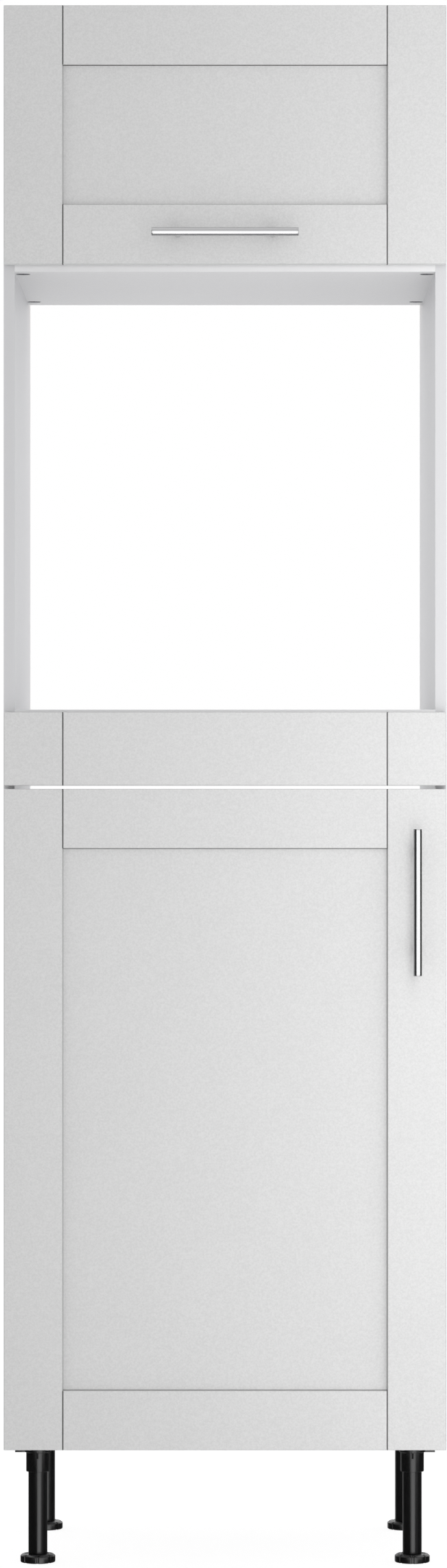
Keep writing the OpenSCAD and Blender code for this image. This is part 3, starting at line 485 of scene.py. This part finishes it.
def finish(key):
    """The finish with that key, made once and kept under its name."""
    colours = bpy.context.scene.housing_colours
    tones = {name: tuple(getattr(colours, name)) for name in colours.__annotations__}
    boards = {"core": tones["core"], "raw_from": corners("top_board")[1][1] * MM - 0.001}
    # Scratches 0.05 mm wide in reality, drawn 0.35 mm wide and 60 mm long: they run with the bar, so
    # highlights stretch round it and its edges fall off dark
    brushed = {"shades": (0.86, 1.1), "gloss": (0.09, 0.19), "relief": (0.4, 0.01),
               "uniform": {"Metallic": 1.0}}
    metal = {"detail": 4.0, "ends": (0.3, 0.7), "uniform": {"Metallic": 1.0}}
    # Tumbling leaves cast zinc evenly dull, with slight stains and soft dents 0.8 mm apart
    cast = metal | {"grain": (0.8, 0.8, 0.8), "relief": (0.3, 0.02)}
    black = {"shades": (0.85, 1.2), "gloss": (0.25, 0.36)}
    name, maker, tone, settings = {
        "foil": ("PVC foil on MDF, satin light grey", foil_finish, "foil", {"joints": frame_joints_and_painted_shade}),
        "panel_foil": ("PVC foil on MDF, centre panels", foil_finish, "foil", {"joints": panel_joints_and_painted_shade}),
        "side": ("Melamine on chipboard, light grey", melamine_finish, "side",
                 boards | {"edging": tones["side"]}),
        "shelf": ("Melamine on chipboard, white", melamine_finish, "shelf",
                  boards | {"edging": tones["edging"]}),
        "back": ("Hardboard, white lacquer in front", melamine_finish, "shelf",
                 {"edging": tones["shelf"], "core": tones["hardboard"], "raw_from": 0}),
        "steel_x": ("Stainless tube, brushed along X", grained_finish, "steel",
                    brushed | {"grain": (60, 0.35, 0.35)}),
        "steel_z": ("Stainless tube, brushed along Z", grained_finish, "steel",
                    brushed | {"grain": (0.35, 0.35, 60)}),
        "zinc": ("Die-cast zinc, tumbled", grained_finish, "zinc",
                 cast | {"shades": (0.9, 1.1), "gloss": (0.32, 0.5)}),
        "cam": ("Die-cast zinc, dark passivated", grained_finish, "cam",
                cast | {"shades": (0.85, 1.15), "gloss": (0.4, 0.625)}),
        # Plating smooths the steel, so its highlights are clear and only waver a little
        "nickel": ("Pressed steel, nickel-plated", grained_finish, "nickel",
                   metal | {"grain": (3, 3, 3), "shades": (0.95, 1.05), "gloss": (0.16, 0.25),
                            "relief": (0.3, 0.005)}),
        "chrome": ("Ground steel rod, hard-chromed", grained_finish, "chrome",
                   metal | {"grain": (5, 5, 5), "shades": (0.97, 1.03), "gloss": (0.056, 0.0875),
                            "relief": (0.3, 0.002)}),
        # Lacquer dries with an orange-peel texture under a clear gloss
        "lacquer": ("Drawn steel tube, black lacquer", grained_finish, "lacquer",
                    black | {"grain": (1.2, 1.2, 1.2), "relief": (0.5, 0.01),
                             "uniform": {"IOR": 1.5, "Coat Weight": 0.6, "Coat Roughness": 0.12}}),
        # The mould is spark-eroded, which gives a fine grain and soft, slightly broad highlights
        "plastic": ("Polypropylene, moulded black", grained_finish, "plastic",
                    black | {"grain": (0.6, 0.6, 0.6), "relief": (0.5, 0.02),
                             "uniform": {"IOR": 1.49, "Specular IOR Level": 0.8}}),
        # Dark flecks 0.4 mm wide and 3 mm long, along the dowels, which lie along X
        "beech": ("Beech, turned and fluted", grained_finish, "beech",
                  {"grain": (3, 0.4, 0.4), "shades": (0.7, 1.1), "relief": (0.5, 0.03), "detail": 2.0,
                   "uniform": {"Roughness": 0.6}}),
        "bumper": ("Polyurethane, cast clear", bumper_finish, "bumper", {}),
    }[key]
    return bpy.data.materials.get(name) or maker(name, tones[tone], **settings)


def dress(key, *nodes):
    """Gives CAD nodes their finish, in their own material slots."""
    for node in nodes:
        for slot in frame["nodes"][node].material_slots:
            slot.material = finish(key)


# What a user may change

class HousingColours(PropertyGroup):
    foil: colour("Front foil", "#E4E4E4", "the foil on the fronts")
    side: colour("Side panels", "#E2E2E4", "the side panels' skin")
    shelf: colour("Shelves", "#EAEAEB", "the boards' and the back panel's skin")
    edging: colour("Edging", "#FAFAFB", "the edging on the boards' front edges")
    core: colour("Chipboard", "#C2A074", "the raw chipboard at the rear edges")
    hardboard: colour("Hardboard", "#8E6A45", "the back panel's rear")
    steel: colour("Brushed steel", "#CFCFD0", "the handles")
    zinc: colour("Zinc", "#A6A8AB", "plates and screws")
    cam: colour("Cams", "#6C6E71", "the cam housings")
    nickel: colour("Nickel", "#C8C5BE", "hinge cups, arms and links")
    chrome: colour("Chrome", "#D4D6D9", "the strut rods")
    lacquer: colour("Strut lacquer", "#161617", "the strut tubes")
    plastic: colour("Black plastic", "#0A0A0B", "the legs")
    beech: colour("Beech", "#CFA878", "the dowels")
    bumper: colour("Bumpers", "#EDEDEA", "the clear bumpers")


class HousingSizes(PropertyGroup):
    bar_rounding: length("Bar end rounding", 0.9, "Rounding at the ends of the handle bars")
    cap_line: length("Cap line", 2.0, "Distance of the end cap's seam from the end of a bar")
    press_edge: length("Pressed edge", 0.25, "Rounding of the edges of pressed and cast fittings")
    notch_width: length("Grip notch", 3.2, "Width of the notches round the foot")
    notch_depth: length("Notch depth", 1.5, "Depth of the notches round the foot")
    thread_pitch: length("Thread pitch", 3.0, "Pitch of the thread under a leg")
    lobes: IntProperty(name="Lobes", description="Number of lobes round the foot", default=8, min=3, max=16)


class HousingStudio(PropertyGroup):
    room: amount("Room", 0.66, "Strength of the even light from the front")
    wall: amount("Wall", 1.15, "Strength of the light from the wall behind")
    mirrored_room: amount("Mirrored room", 0.75, "Brightness of the upper room in metal and gloss")
    mirrored_horizon: amount("Mirrored horizon", 1.6, "Brightness at eye height in metal and gloss")
    mirrored_wall: amount("Mirrored wall", 1.15, "Brightness of the wall behind in metal and gloss")
    key_power: amount("Soft box", 15.8, "Power of the soft box on the right in watts")
    floor_size: length("Floor", 60000, "Half the width of the floor")
    camera_away: length("Camera distance", 7272, "Distance of the camera from the middle of the unit")
    camera_high: length("Camera height", 1063.3, "Height of the camera above the floor")


# Operators

class HOUSING_OT_boards(Operator):
    """Gives the cabinet's boards their melamine skin and raw rear edges"""
    bl_idname = "housing.boards"
    bl_label = "Boards"

    def execute(self, context):
        dress("side", "side_panel_left", "side_panel_right")
        dress("shelf", "top_board", "upper_shelf", "oven_shelf", "base_board")
        dress("back", "back_panel")
        dress("beech", "wood_dowels")
        dress("zinc", "cam_bolts")
        return {"FINISHED"}


class HOUSING_OT_fronts(Operator):
    """Gives the frames and panels of the fronts their foil, and adds the bumpers behind them"""
    bl_idname = "housing.fronts"
    bl_label = "Fronts"

    def execute(self, context):
        dress("foil", *[node for node in frame["nodes"] if "stile" in node or "rail" in node])
        dress("panel_foil", "flap_panel", "door_panel")
        for front in ("flap", "door"):
            shells = []
            for solid in solids(front + "_bumpers"):
                low, high, middle = extent(solid)
                radius, thick = (high[0] - low[0]) / 2, high[1] - low[1]
                profile = [(0, radius)] + rounding(thick * 0.35, radius - thick * 0.6, thick * 0.6, 0, 90)
                shells.append(turned(profile, [middle[0], low[1], middle[2]], (0, 1, 0), 40))
            add_piece(front + "_bumper_domes", shells, "bumper", front,
                      [front + "_bumpers"])
        return {"FINISHED"}


def bar_handle(front, lengthwise):
    """A round bar on two posts. The bar is turned round its long axis: rounded ends, then a hairline seam
    where the end cap is pressed in. The posts are turned too, with a fillet where they meet the bar."""
    sizes = bpy.context.scene.housing_sizes
    low, high, middle = extent(np.array(corners(front + "_handle_bar")))
    index = "XYZ".index(lengthwise)
    half, radius = (high[index] - low[index]) / 2, (high[1] - low[1]) / 2
    soft, cap = sizes.bar_rounding / MM, sizes.cap_line / MM
    seam = [(half - cap + place, radius - sunk)
            for place, sunk in ((-0.3, 0), (-0.2, 0.25), (0.2, 0.25), (0.3, 0))]
    right = seam + rounding(half - soft, radius - soft, soft, 0, 80)
    left = [(-height, r) for height, r in right[::-1]]
    bar = turned(left + right, middle, np.eye(3)[index], 72)
    posts = []
    for solid in solids(front + "_handle_posts"):
        base, top, centre = extent(solid)
        reach, post = top[1] - base[1], (top[0] - base[0]) / 2
        profile = [(0, post - 0.3), (0.3, post), (reach - 2.6, post), (reach - 1.4, post),
                   (reach, post - 0.02)]
        posts.append(turned(profile, [centre[0], top[1], centre[2]], (0, -1, 0), 48))
    key = "steel_" + lengthwise.lower()
    add_piece(front + "_bar_tube", [bar], key, front, [front + "_handle_bar"])
    add_piece(front + "_bar_posts", posts, key, front, [front + "_handle_posts"])


class HOUSING_OT_handles(Operator):
    """Adds the two bar handles"""
    bl_idname = "housing.handles"
    bl_label = "Handles"

    def execute(self, context):
        bar_handle("flap", "X")
        bar_handle("door", "Z")
        return {"FINISHED"}


def screw_shells(node):
    """One screw for each solid of a node: the long side of its box gives the axis, the end where it is
    widest is the head, and the rest carries a thread."""
    shells = []
    for number, solid in enumerate(solids(node)):
        low, high, middle = extent(solid)
        index = int(np.argmax(high - low))
        others = [i for i in range(3) if i != index]
        spread = np.hypot(*(solid[:, others] - middle[others]).T)
        near_high = solid[:, index] > middle[index]
        outward = 1 if spread[near_high].max() >= spread[~near_high].max() else -1
        axis = np.eye(3)[index] * outward
        head = spread.max()
        along = (solid - middle) @ axis
        neck = along[spread > head * 0.9].min()
        thick = along.max() - neck
        shank = spread[along < neck - 1].max()
        shells.append(recessed_disc(middle + axis * along.max(), axis, head, thick, dome=thick * 0.35,
                                    arm=head * 0.62, width=head * 0.24, depth=thick * 0.55,
                                    turn=number * 0.65))
        shells.append(threaded(middle, axis, along.min(), neck, shank, pitch=1.4, depth=shank * 0.12,
                               count=16))
    return shells


class HOUSING_OT_connectors(Operator):
    """Adds cam housings with their cross recess, and every screw with its head and thread"""
    bl_idname = "housing.connectors"
    bl_label = "Connectors and screws"

    def execute(self, context):
        shells = []
        for number, solid in enumerate(solids("cam_housings")):
            low, high, middle = extent(solid)
            radius = (high[0] - low[0]) / 2
            shells.append(recessed_disc([middle[0], middle[1], low[2]], (0, 0, -1), radius, high[2] - low[2],
                                        dome=0, arm=4.5, width=1.6, depth=1.6, turn=0.6 + number * 0.4,
                                        ring=1.8, count=64))
        add_piece("cam_discs", shells, "cam", "cabinet", ["cam_housings"])
        for body, kinds in (("cabinet", ("filler", "leg_socket", "hinge_plate", "strut_side")),
                            ("flap", ("flap_cup", "strut_flap", "flap_handle")),
                            ("door", ("door_cup", "door_handle"))):
            for node in [kind + "_screws" for kind in kinds]:
                add_piece(node + "_crossed", screw_shells(node), "zinc", body, [node])
        return {"FINISHED"}


class HOUSING_OT_hinges(Operator):
    """Gives the concealed hinges and the brackets their plated metal and rounded edges"""
    bl_idname = "housing.hinges"
    bl_label = "Hinges and brackets"

    def execute(self, context):
        rows = []
        for front in ("flap", "door"):
            rows += [(front + "_hinge_cups", front + "_cups", "nickel", front),
                     (front + "_hinge_links", front + "_links_bent", "nickel", front + "_links"),
                     (front + "_hinge_arms", front + "_arms", "nickel", "cabinet"),
                     (front + "_hinge_plates", front + "_plates", "zinc", "cabinet")]
        rows += [("filler_brackets", "filler_angles", "zinc", "cabinet"),
                 ("strut_side_brackets", "strut_side_studs", "zinc", "cabinet"),
                 ("strut_flap_brackets", "strut_flap_ears", "zinc", "flap")]
        for node, name, metal, body in rows:
            pressed(node, name, metal, body, context.scene.housing_sizes.press_edge)
        return {"FINISHED"}


class HOUSING_OT_struts(Operator):
    """Adds the gas struts: a tube rolled in at both ends, the rod with its piston, and their end eyes"""
    bl_idname = "housing.struts"
    bl_label = "Gas struts"

    def execute(self, context):
        joints = {joint["name"]: joint for joint in frame["joints"]}
        pivot = np.array(joints["strut_swing"]["pos_m"]) / MM
        axis = np.array(joints["strut_stroke"]["axis"])
        eye_wall = [(-5, 5.5), (-4.85, 5.8), (-4.5, 6), (4.5, 6), (4.85, 5.8), (5, 5.5)]
        bored_eye = [(-5, 3.06)] + eye_wall + [(5, 3.06)]
        eye_pin = [(4.5, 3), (7.6, 3), (8, 2.6)]
        tube_neck, rod_collar = [(5.2, 3.4), (10.2, 3.4)], [(-9.6, 3.4), (-9.2, 3.8), (-5, 3.8)]
        for side in ("left", "right"):
            low, high, middle = extent(vertices("strut_cylinder_" + side))
            base = np.array([middle[0], pivot[1], pivot[2]])
            inward = np.array([-np.sign(base[0]), 0.0, 0.0])
            along_tube = (vertices("strut_cylinder_" + side) - base) @ axis
            along_rod = (vertices("strut_rod_" + side) - base) @ axis
            end, start, eye_at = along_tube.max(), along_rod.min(), along_rod.max() - 6
            radius = (high[0] - low[0]) / 2
            # The groove near the end of the tube holds the seal
            tube = [(10, 5.2)] + rounding(12, radius - 2, 2, -90, 0)
            tube += [(end - 7, radius), (end - 6.4, radius - 0.5), (end - 5.6, radius - 0.5),
                     (end - 5, radius)]
            tube += rounding(end - 2, radius - 2, 2, 0, 85)
            tube += [(end, 3.1), (end - 5, 3.1), (end - 5, radius - 1.4), (15, radius - 1.4)]
            shells = [turned(tube, base, axis, 64), turned(bored_eye, base, inward, 48, ring=True),
                      turned(tube_neck, base, axis, 32)]
            add_piece("strut_tube_" + side, shells, "lacquer", "strut_tubes",
                      ["strut_cylinder_" + side])
            eye = base + axis * eye_at
            rod = [(start, radius - 2.1), (start + 0.4, radius - 1.7), (start + 5.6, radius - 1.7),
                   (start + 6, radius - 2.1), (start + 6, 3), (eye_at - 9, 3)]
            shells = [turned(rod, base, axis, 48), turned(eye_wall, eye, inward, 48),
                      turned(eye_pin, eye, inward, 32), turned(rod_collar, eye, axis, 32)]
            add_piece("strut_rod_chromed_" + side, shells, "chrome", "strut_rods",
                      ["strut_rod_" + side])
        return {"FINISHED"}


def lobed(notch_width, notch_depth, lobes, rim):
    """Radius of a foot with grip notches: beyond the rim radius, the radius falls by the notch depth where
    the arc distance to the nearest of the evenly spaced notches is under half the notch width."""

    def shape(angle, height, radius):
        step = 2 * math.pi / lobes
        distance = abs((angle + step / 2) % step - step / 2) * radius
        cut = np.clip((notch_width / 2 - distance) / 0.5 + 0.5, 0, 1)
        return radius - np.where(radius > rim, cut * notch_depth, 0)

    return shape


class HOUSING_OT_legs(Operator):
    """Adds the legs: sockets under the base, tubes, and lobed feet on threaded stems"""
    bl_idname = "housing.legs"
    bl_label = "Legs"

    def execute(self, context):
        sizes = context.scene.housing_sizes
        up = (0, 0, 1)
        tubes, sockets = [], []
        for solid in solids("leg_tubes"):
            low, high, middle = extent(solid)
            radius = (high[0] - low[0]) / 2
            profile = [(high[2] - 4, 9.5), (low[2], 9.5), (low[2], radius - 0.5)]
            profile += rounding(low[2] + 0.5, radius - 0.5, 0.5, -60, 0, 2) + [(high[2], radius)]
            tubes.append(turned(profile, [middle[0], middle[1], 0], up, 96))
        add_piece("leg_tubes_moulded", tubes, "plastic", "cabinet", ["leg_tubes"])
        # Radii of a socket's bore, collar and flange, and heights of the flange and of the plate over it
        bore, collar, flange, flange_low, flange_high, plate_low = 13.1, 16, 18, 150.2, 156.4, 156
        # The plate in plan, with lugs for its screws, the web to the lug beside the side panel, and a rib
        lugs = [(-18, -24), (-5.2, -24), (-5.2, -27), (5.2, -27), (5.2, -24), (18, -24), (18, -16), (24, -16),
                (24, -9), (31, -9), (31, 9), (24, 9), (24, 16), (18, 16), (18, 27), (-18, 27)]
        web = [(15, -5), (31, -5), (31, 5), (15, 5)]
        rib = [(15.5, 142.6), (17.5, 142.6), (23.8, 151), (23.8, flange_high), (15.5, flange_high)]
        rib_half = 1.25
        for solid in solids("leg_sockets"):
            low, high, middle = extent(solid)
            side = 1 if high[0] > 0 else -1
            origin = np.array([side * (max(abs(low[0]), abs(high[0])) - 31), middle[1], 0])
            profile = [(low[2], bore), (low[2], collar - 0.5)]
            profile += rounding(low[2] + 0.5, collar - 0.5, 0.5, -60, 0, 2)
            profile += [(flange_low, collar), (flange_low + 0.2, flange - 0.4), (flange_low + 0.6, flange),
                        (flange_high, flange), (flange_high, bore)]
            sockets.append(turned(profile, origin, up, 96, ring=True))
            for plan, soft, bottom, top, edge in ((lugs, 1.2, plate_low, high[2], 0.4),
                                                  (web, 0.8, flange_low, flange_high - 0.1, 0.3)):
                plan = (np.array(plan, float) * (side, 1))[::side]
                sockets.append(plate(softened(plan, soft), bottom, top, edge, origin, up, (1, 0, 0)))
            for way in (-1, 1):
                sockets.append(plate(softened(rib, 0.8), -rib_half, rib_half, 0.3, origin, (way, 0, 0),
                                     (0, way, 0)))
        add_piece("leg_sockets_moulded", sockets, "plastic", "cabinet", ["leg_sockets"])
        shape = lobed(sizes.notch_width / MM, sizes.notch_depth / MM, sizes.lobes, rim=19.0)
        for place in ("front_left", "front_right", "rear_left", "rear_right"):
            low, high, middle = extent(vertices("foot_" + place))
            base, radius = [middle[0], middle[1], 0], (high[0] - low[0]) / 2
            disc = [(0, radius - 1.2), (0.3, radius - 0.6), (1, radius - 0.1), (1.4, radius), (8.3, radius),
                    (8.7, radius - 0.1), (9, radius - 0.4), (10.8, radius - 2.7), (11, radius - 3.1),
                    (11, 16.8), (10.7, 16.3), (10.4, 16), (10.4, 13.6), (10.7, 13.3)]
            shells = [turned(disc, base, up, 256, shape=shape),
                      threaded(base, up, 10.5, high[2], radius=9.4, pitch=sizes.thread_pitch / MM,
                               depth=0.6, count=40)]
            add_piece(f"foot_{place}_lobed", shells, "plastic", place + "_foot",
                      ["foot_" + place])
        return {"FINISHED"}


def stage_plane(name, corner, side, up, surface):
    """A flat piece of the studio, from its corner along two sides, in metres."""
    corner, side, up = np.array(corner), np.array(side), np.array(up)
    mesh = bpy.data.meshes.new(name)
    mesh.from_pydata([corner, corner + side, corner + side + up, corner + up], [], [(0, 1, 2, 3)])
    mesh.materials.append(surface)
    made = linked(name, mesh)
    return made


def soft_box(name, place, target, width, height, power):
    """A rectangular lamp at a place, turned towards the target."""
    lamp = bpy.data.lights.new(name, "AREA")
    lamp.shape = "RECTANGLE"
    lamp.size, lamp.size_y, lamp.energy = width, height, power
    made = linked(name, lamp)
    made.location = place
    away = np.array(place) - np.array(target)
    made.rotation_euler = (math.atan2(math.hypot(away[0], away[1]), away[2]), 0,
                           math.atan2(away[1], away[0]) + math.pi / 2)
    made.visible_camera = False
    made.visible_glossy = False


class HOUSING_OT_stage(Operator):
    """Adds the pale floor, the white surroundings, the soft box, the cards for reflections and the camera"""
    bl_idname = "housing.stage"
    bl_label = "Stage"

    def execute(self, context):
        scene = context.scene
        studio = scene.housing_studio
        white = (1, 1, 1, 1)
        floor = bpy.data.materials.new("Paper roll, matt white")
        tree = empty_tree(floor)
        # Seen by the camera or in a reflection, the paper is white and keeps a faint shadow
        path = add(tree, "LightPath")
        seen = add(tree, "Math", {"operation": "MAXIMUM"},
                   {0: (path, "Is Camera Ray"), 1: (path, "Is Glossy Ray")})
        seen = add(tree, "Math", {"operation": "MAXIMUM"}, {0: (seen, 0), 1: (path, "Is Transmission Ray")})
        paper = add(tree, "BsdfDiffuse", {"Color": linear("#F2F2F2")})
        faint = add(tree, "BsdfDiffuse", {"Color": (0.16, 0.16, 0.16, 1)})
        glow = add(tree, "Emission", {"Color": white, "Strength": 0.9})
        shown = add(tree, "AddShader", links={0: (faint, 0), 1: (glow, 0)})
        mixed = add(tree, "MixShader", links={0: (seen, 0), 1: (paper, 0), 2: (shown, 0)})
        add(tree, "OutputMaterial", links={"Surface": (mixed, 0)})
        half = studio.floor_size
        made = stage_plane("floor", (-half, -half, 0), (2 * half, 0, 0), (0, 2 * half, 0), floor)
        made.visible_glossy = False

        scene.world = bpy.data.worlds.new("White surroundings")
        tree = empty_tree(scene.world)
        # White to the camera. A lit wall behind the unit gives more light than the room in front of it,
        # and metal mirrors the white wall and paper, but a greyer room above the horizon in front
        path = add(tree, "LightPath")
        way = add(tree, "TexCoord")
        way = add(tree, "SeparateXYZ", links={0: (way, "Generated")})
        lit = add(tree, "MapRange", {"From Min": -0.1, "From Max": 0.35, "To Min": studio.room,
                                     "To Max": studio.wall}, {"Value": (way, "Y")})
        upper = add(tree, "MapRange", {"From Min": 0.05, "From Max": 0.25, "To Min": studio.mirrored_horizon,
                                       "To Max": studio.mirrored_room}, {"Value": (way, "Z")})
        behind = add(tree, "MapRange", {"From Min": -0.1, "From Max": 0.1}, {"Value": (way, "Y")})
        mirrored = add(tree, "MapRange", {"To Max": studio.mirrored_wall},
                       {"Value": (behind, 0), "To Min": (upper, 0)})
        seen = add(tree, "Math", {"operation": "MAXIMUM"},
                   {0: (path, "Is Camera Ray"), 1: (path, "Is Transmission Ray")})
        strength = add(tree, "MapRange", links={"Value": (path, "Is Glossy Ray"), "To Min": (lit, 0),
                                                "To Max": (mirrored, 0)})
        strength = add(tree, "MapRange", {"To Max": 1.0}, {"Value": (seen, 0), "To Min": (strength, 0)})
        sky = add(tree, "Background", {"Color": white}, {"Strength": (strength, 0)})
        add(tree, "OutputWorld", links={"Surface": (sky, 0)})

        soft_box("soft box right", place=(0.53, -1.65, 1.18), target=(2.5, -0.27, 0.86), width=1.0,
                 height=2.1, power=studio.key_power)

        # Cards that only reflections see, each with its strength, corner and two sides: dark ones beside
        # the unit and low in front of it, one at the left front that darkens the edge of the door's bar,
        # and a bright one low in front, which gives the legs their highlight
        cards = (
            ("card left", 0.04, (-2.0, -2.4, -2.0), (0, 5.0, 0), (0, 0, 5.0)),
            ("card left front", 0.04, (-2.0, -2.4, 0.0), (1.1, 0, 0), (0, 0, 3.0)),
            ("card right", 0.04, (3.2, -1.55, -2.0), (0, 4.15, 0), (0, 0, 5.0)),
            ("card below", 0.22, (-2.0, -2.4, -2.0), (6.0, 0, 0), (0, 3.0, 0)),
            ("card behind left", 0.35, (-3.2, 2.6, -2.0), (3.2, 0, 0), (0, 0, 2.3)),
            ("card behind right", 0.08, (0, 2.6, -2.0), (3.2, 0, 0), (0, 0, 2.3)),
            ("card low left", 0.02, (-2.0, -2.4, -2.0), (1.65, 0, 0), (0, 0, 1.92)),
            ("card low bright", 2.1, (-0.35, -2.4, -2.0), (2.0, 0, 0), (0, 0, 1.92)),
            ("card low right", 0.02, (1.65, -2.4, -2.0), (1.55, 0, 0), (0, 0, 1.92)),
            ("card low end", 0.3, (3.2, -2.4, -2.0), (0, 0.85, 0), (0, 0, 1.92)),
        )
        for name, strength, corner, side, up in cards:
            card = bpy.data.materials.new(name)
            tree = empty_tree(card)
            light = add(tree, "Emission", {"Color": white, "Strength": strength})
            add(tree, "OutputMaterial", links={"Surface": (light, 0)})
            made = stage_plane(name, corner, side, up, card)
            made.visible_camera = False
            made.visible_diffuse = False
            made.visible_shadow = False
            made.visible_transmission = False

        # Lens of the photograph: focal length, picture height and offset of the middle, in pixels
        focal, picture, offset = 7140, 2160, -2.1
        lens = bpy.data.cameras.new("camera")
        lens.sensor_fit = "VERTICAL"
        lens.sensor_height = 36
        lens.lens = lens.sensor_height * focal / picture
        lens.shift_x = offset / picture
        lens.clip_end = 500
        camera = linked("camera", lens)
        camera.location = (0, -studio.camera_away, studio.camera_high)
        camera.rotation_euler = (math.pi / 2, 0, 0)
        scene.camera = camera
        scene.view_settings.view_transform = "Standard"
        return {"FINISHED"}


class HOUSING_PT_panel(Panel):
    """Lists the pieces of the housing unit and what may be changed"""
    bl_idname = "HOUSING_PT_panel"
    bl_label = "Housing unit"
    bl_space_type = "VIEW_3D"
    bl_region_type = "UI"
    bl_category = "Housing unit"

    def draw(self, context):
        for operator in OPERATORS:
            self.layout.operator(operator.bl_idname)
        for name, kind in SETTINGS.items():
            box = self.layout.box()
            for setting in kind.__annotations__:
                box.prop(getattr(context.scene, name), setting)


SETTINGS = {"housing_colours": HousingColours, "housing_sizes": HousingSizes, "housing_studio": HousingStudio}
OPERATORS = (HOUSING_OT_boards, HOUSING_OT_fronts, HOUSING_OT_handles, HOUSING_OT_connectors,
             HOUSING_OT_hinges, HOUSING_OT_struts, HOUSING_OT_legs, HOUSING_OT_stage)
CLASSES = (*SETTINGS.values(), *OPERATORS, HOUSING_PT_panel)


def register():
    """Registers the classes and hangs the settings on the scene."""
    for item in CLASSES:
        bpy.utils.register_class(item)
    for name, kind in SETTINGS.items():
        setattr(bpy.types.Scene, name, PointerProperty(type=kind))


def unregister():
    """Takes the settings and the classes away again."""
    for name in SETTINGS:
        delattr(bpy.types.Scene, name)
    for item in reversed(CLASSES):
        bpy.utils.unregister_class(item)


def main():
    """Registers the add-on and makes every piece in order."""
    register()
    bpy.ops.housing.boards()
    bpy.ops.housing.fronts()
    bpy.ops.housing.handles()
    bpy.ops.housing.connectors()
    bpy.ops.housing.hinges()
    bpy.ops.housing.struts()
    bpy.ops.housing.legs()
    bpy.ops.housing.stage()
    bpy.context.view_layer.update()


if __name__ == "__main__":
    main()
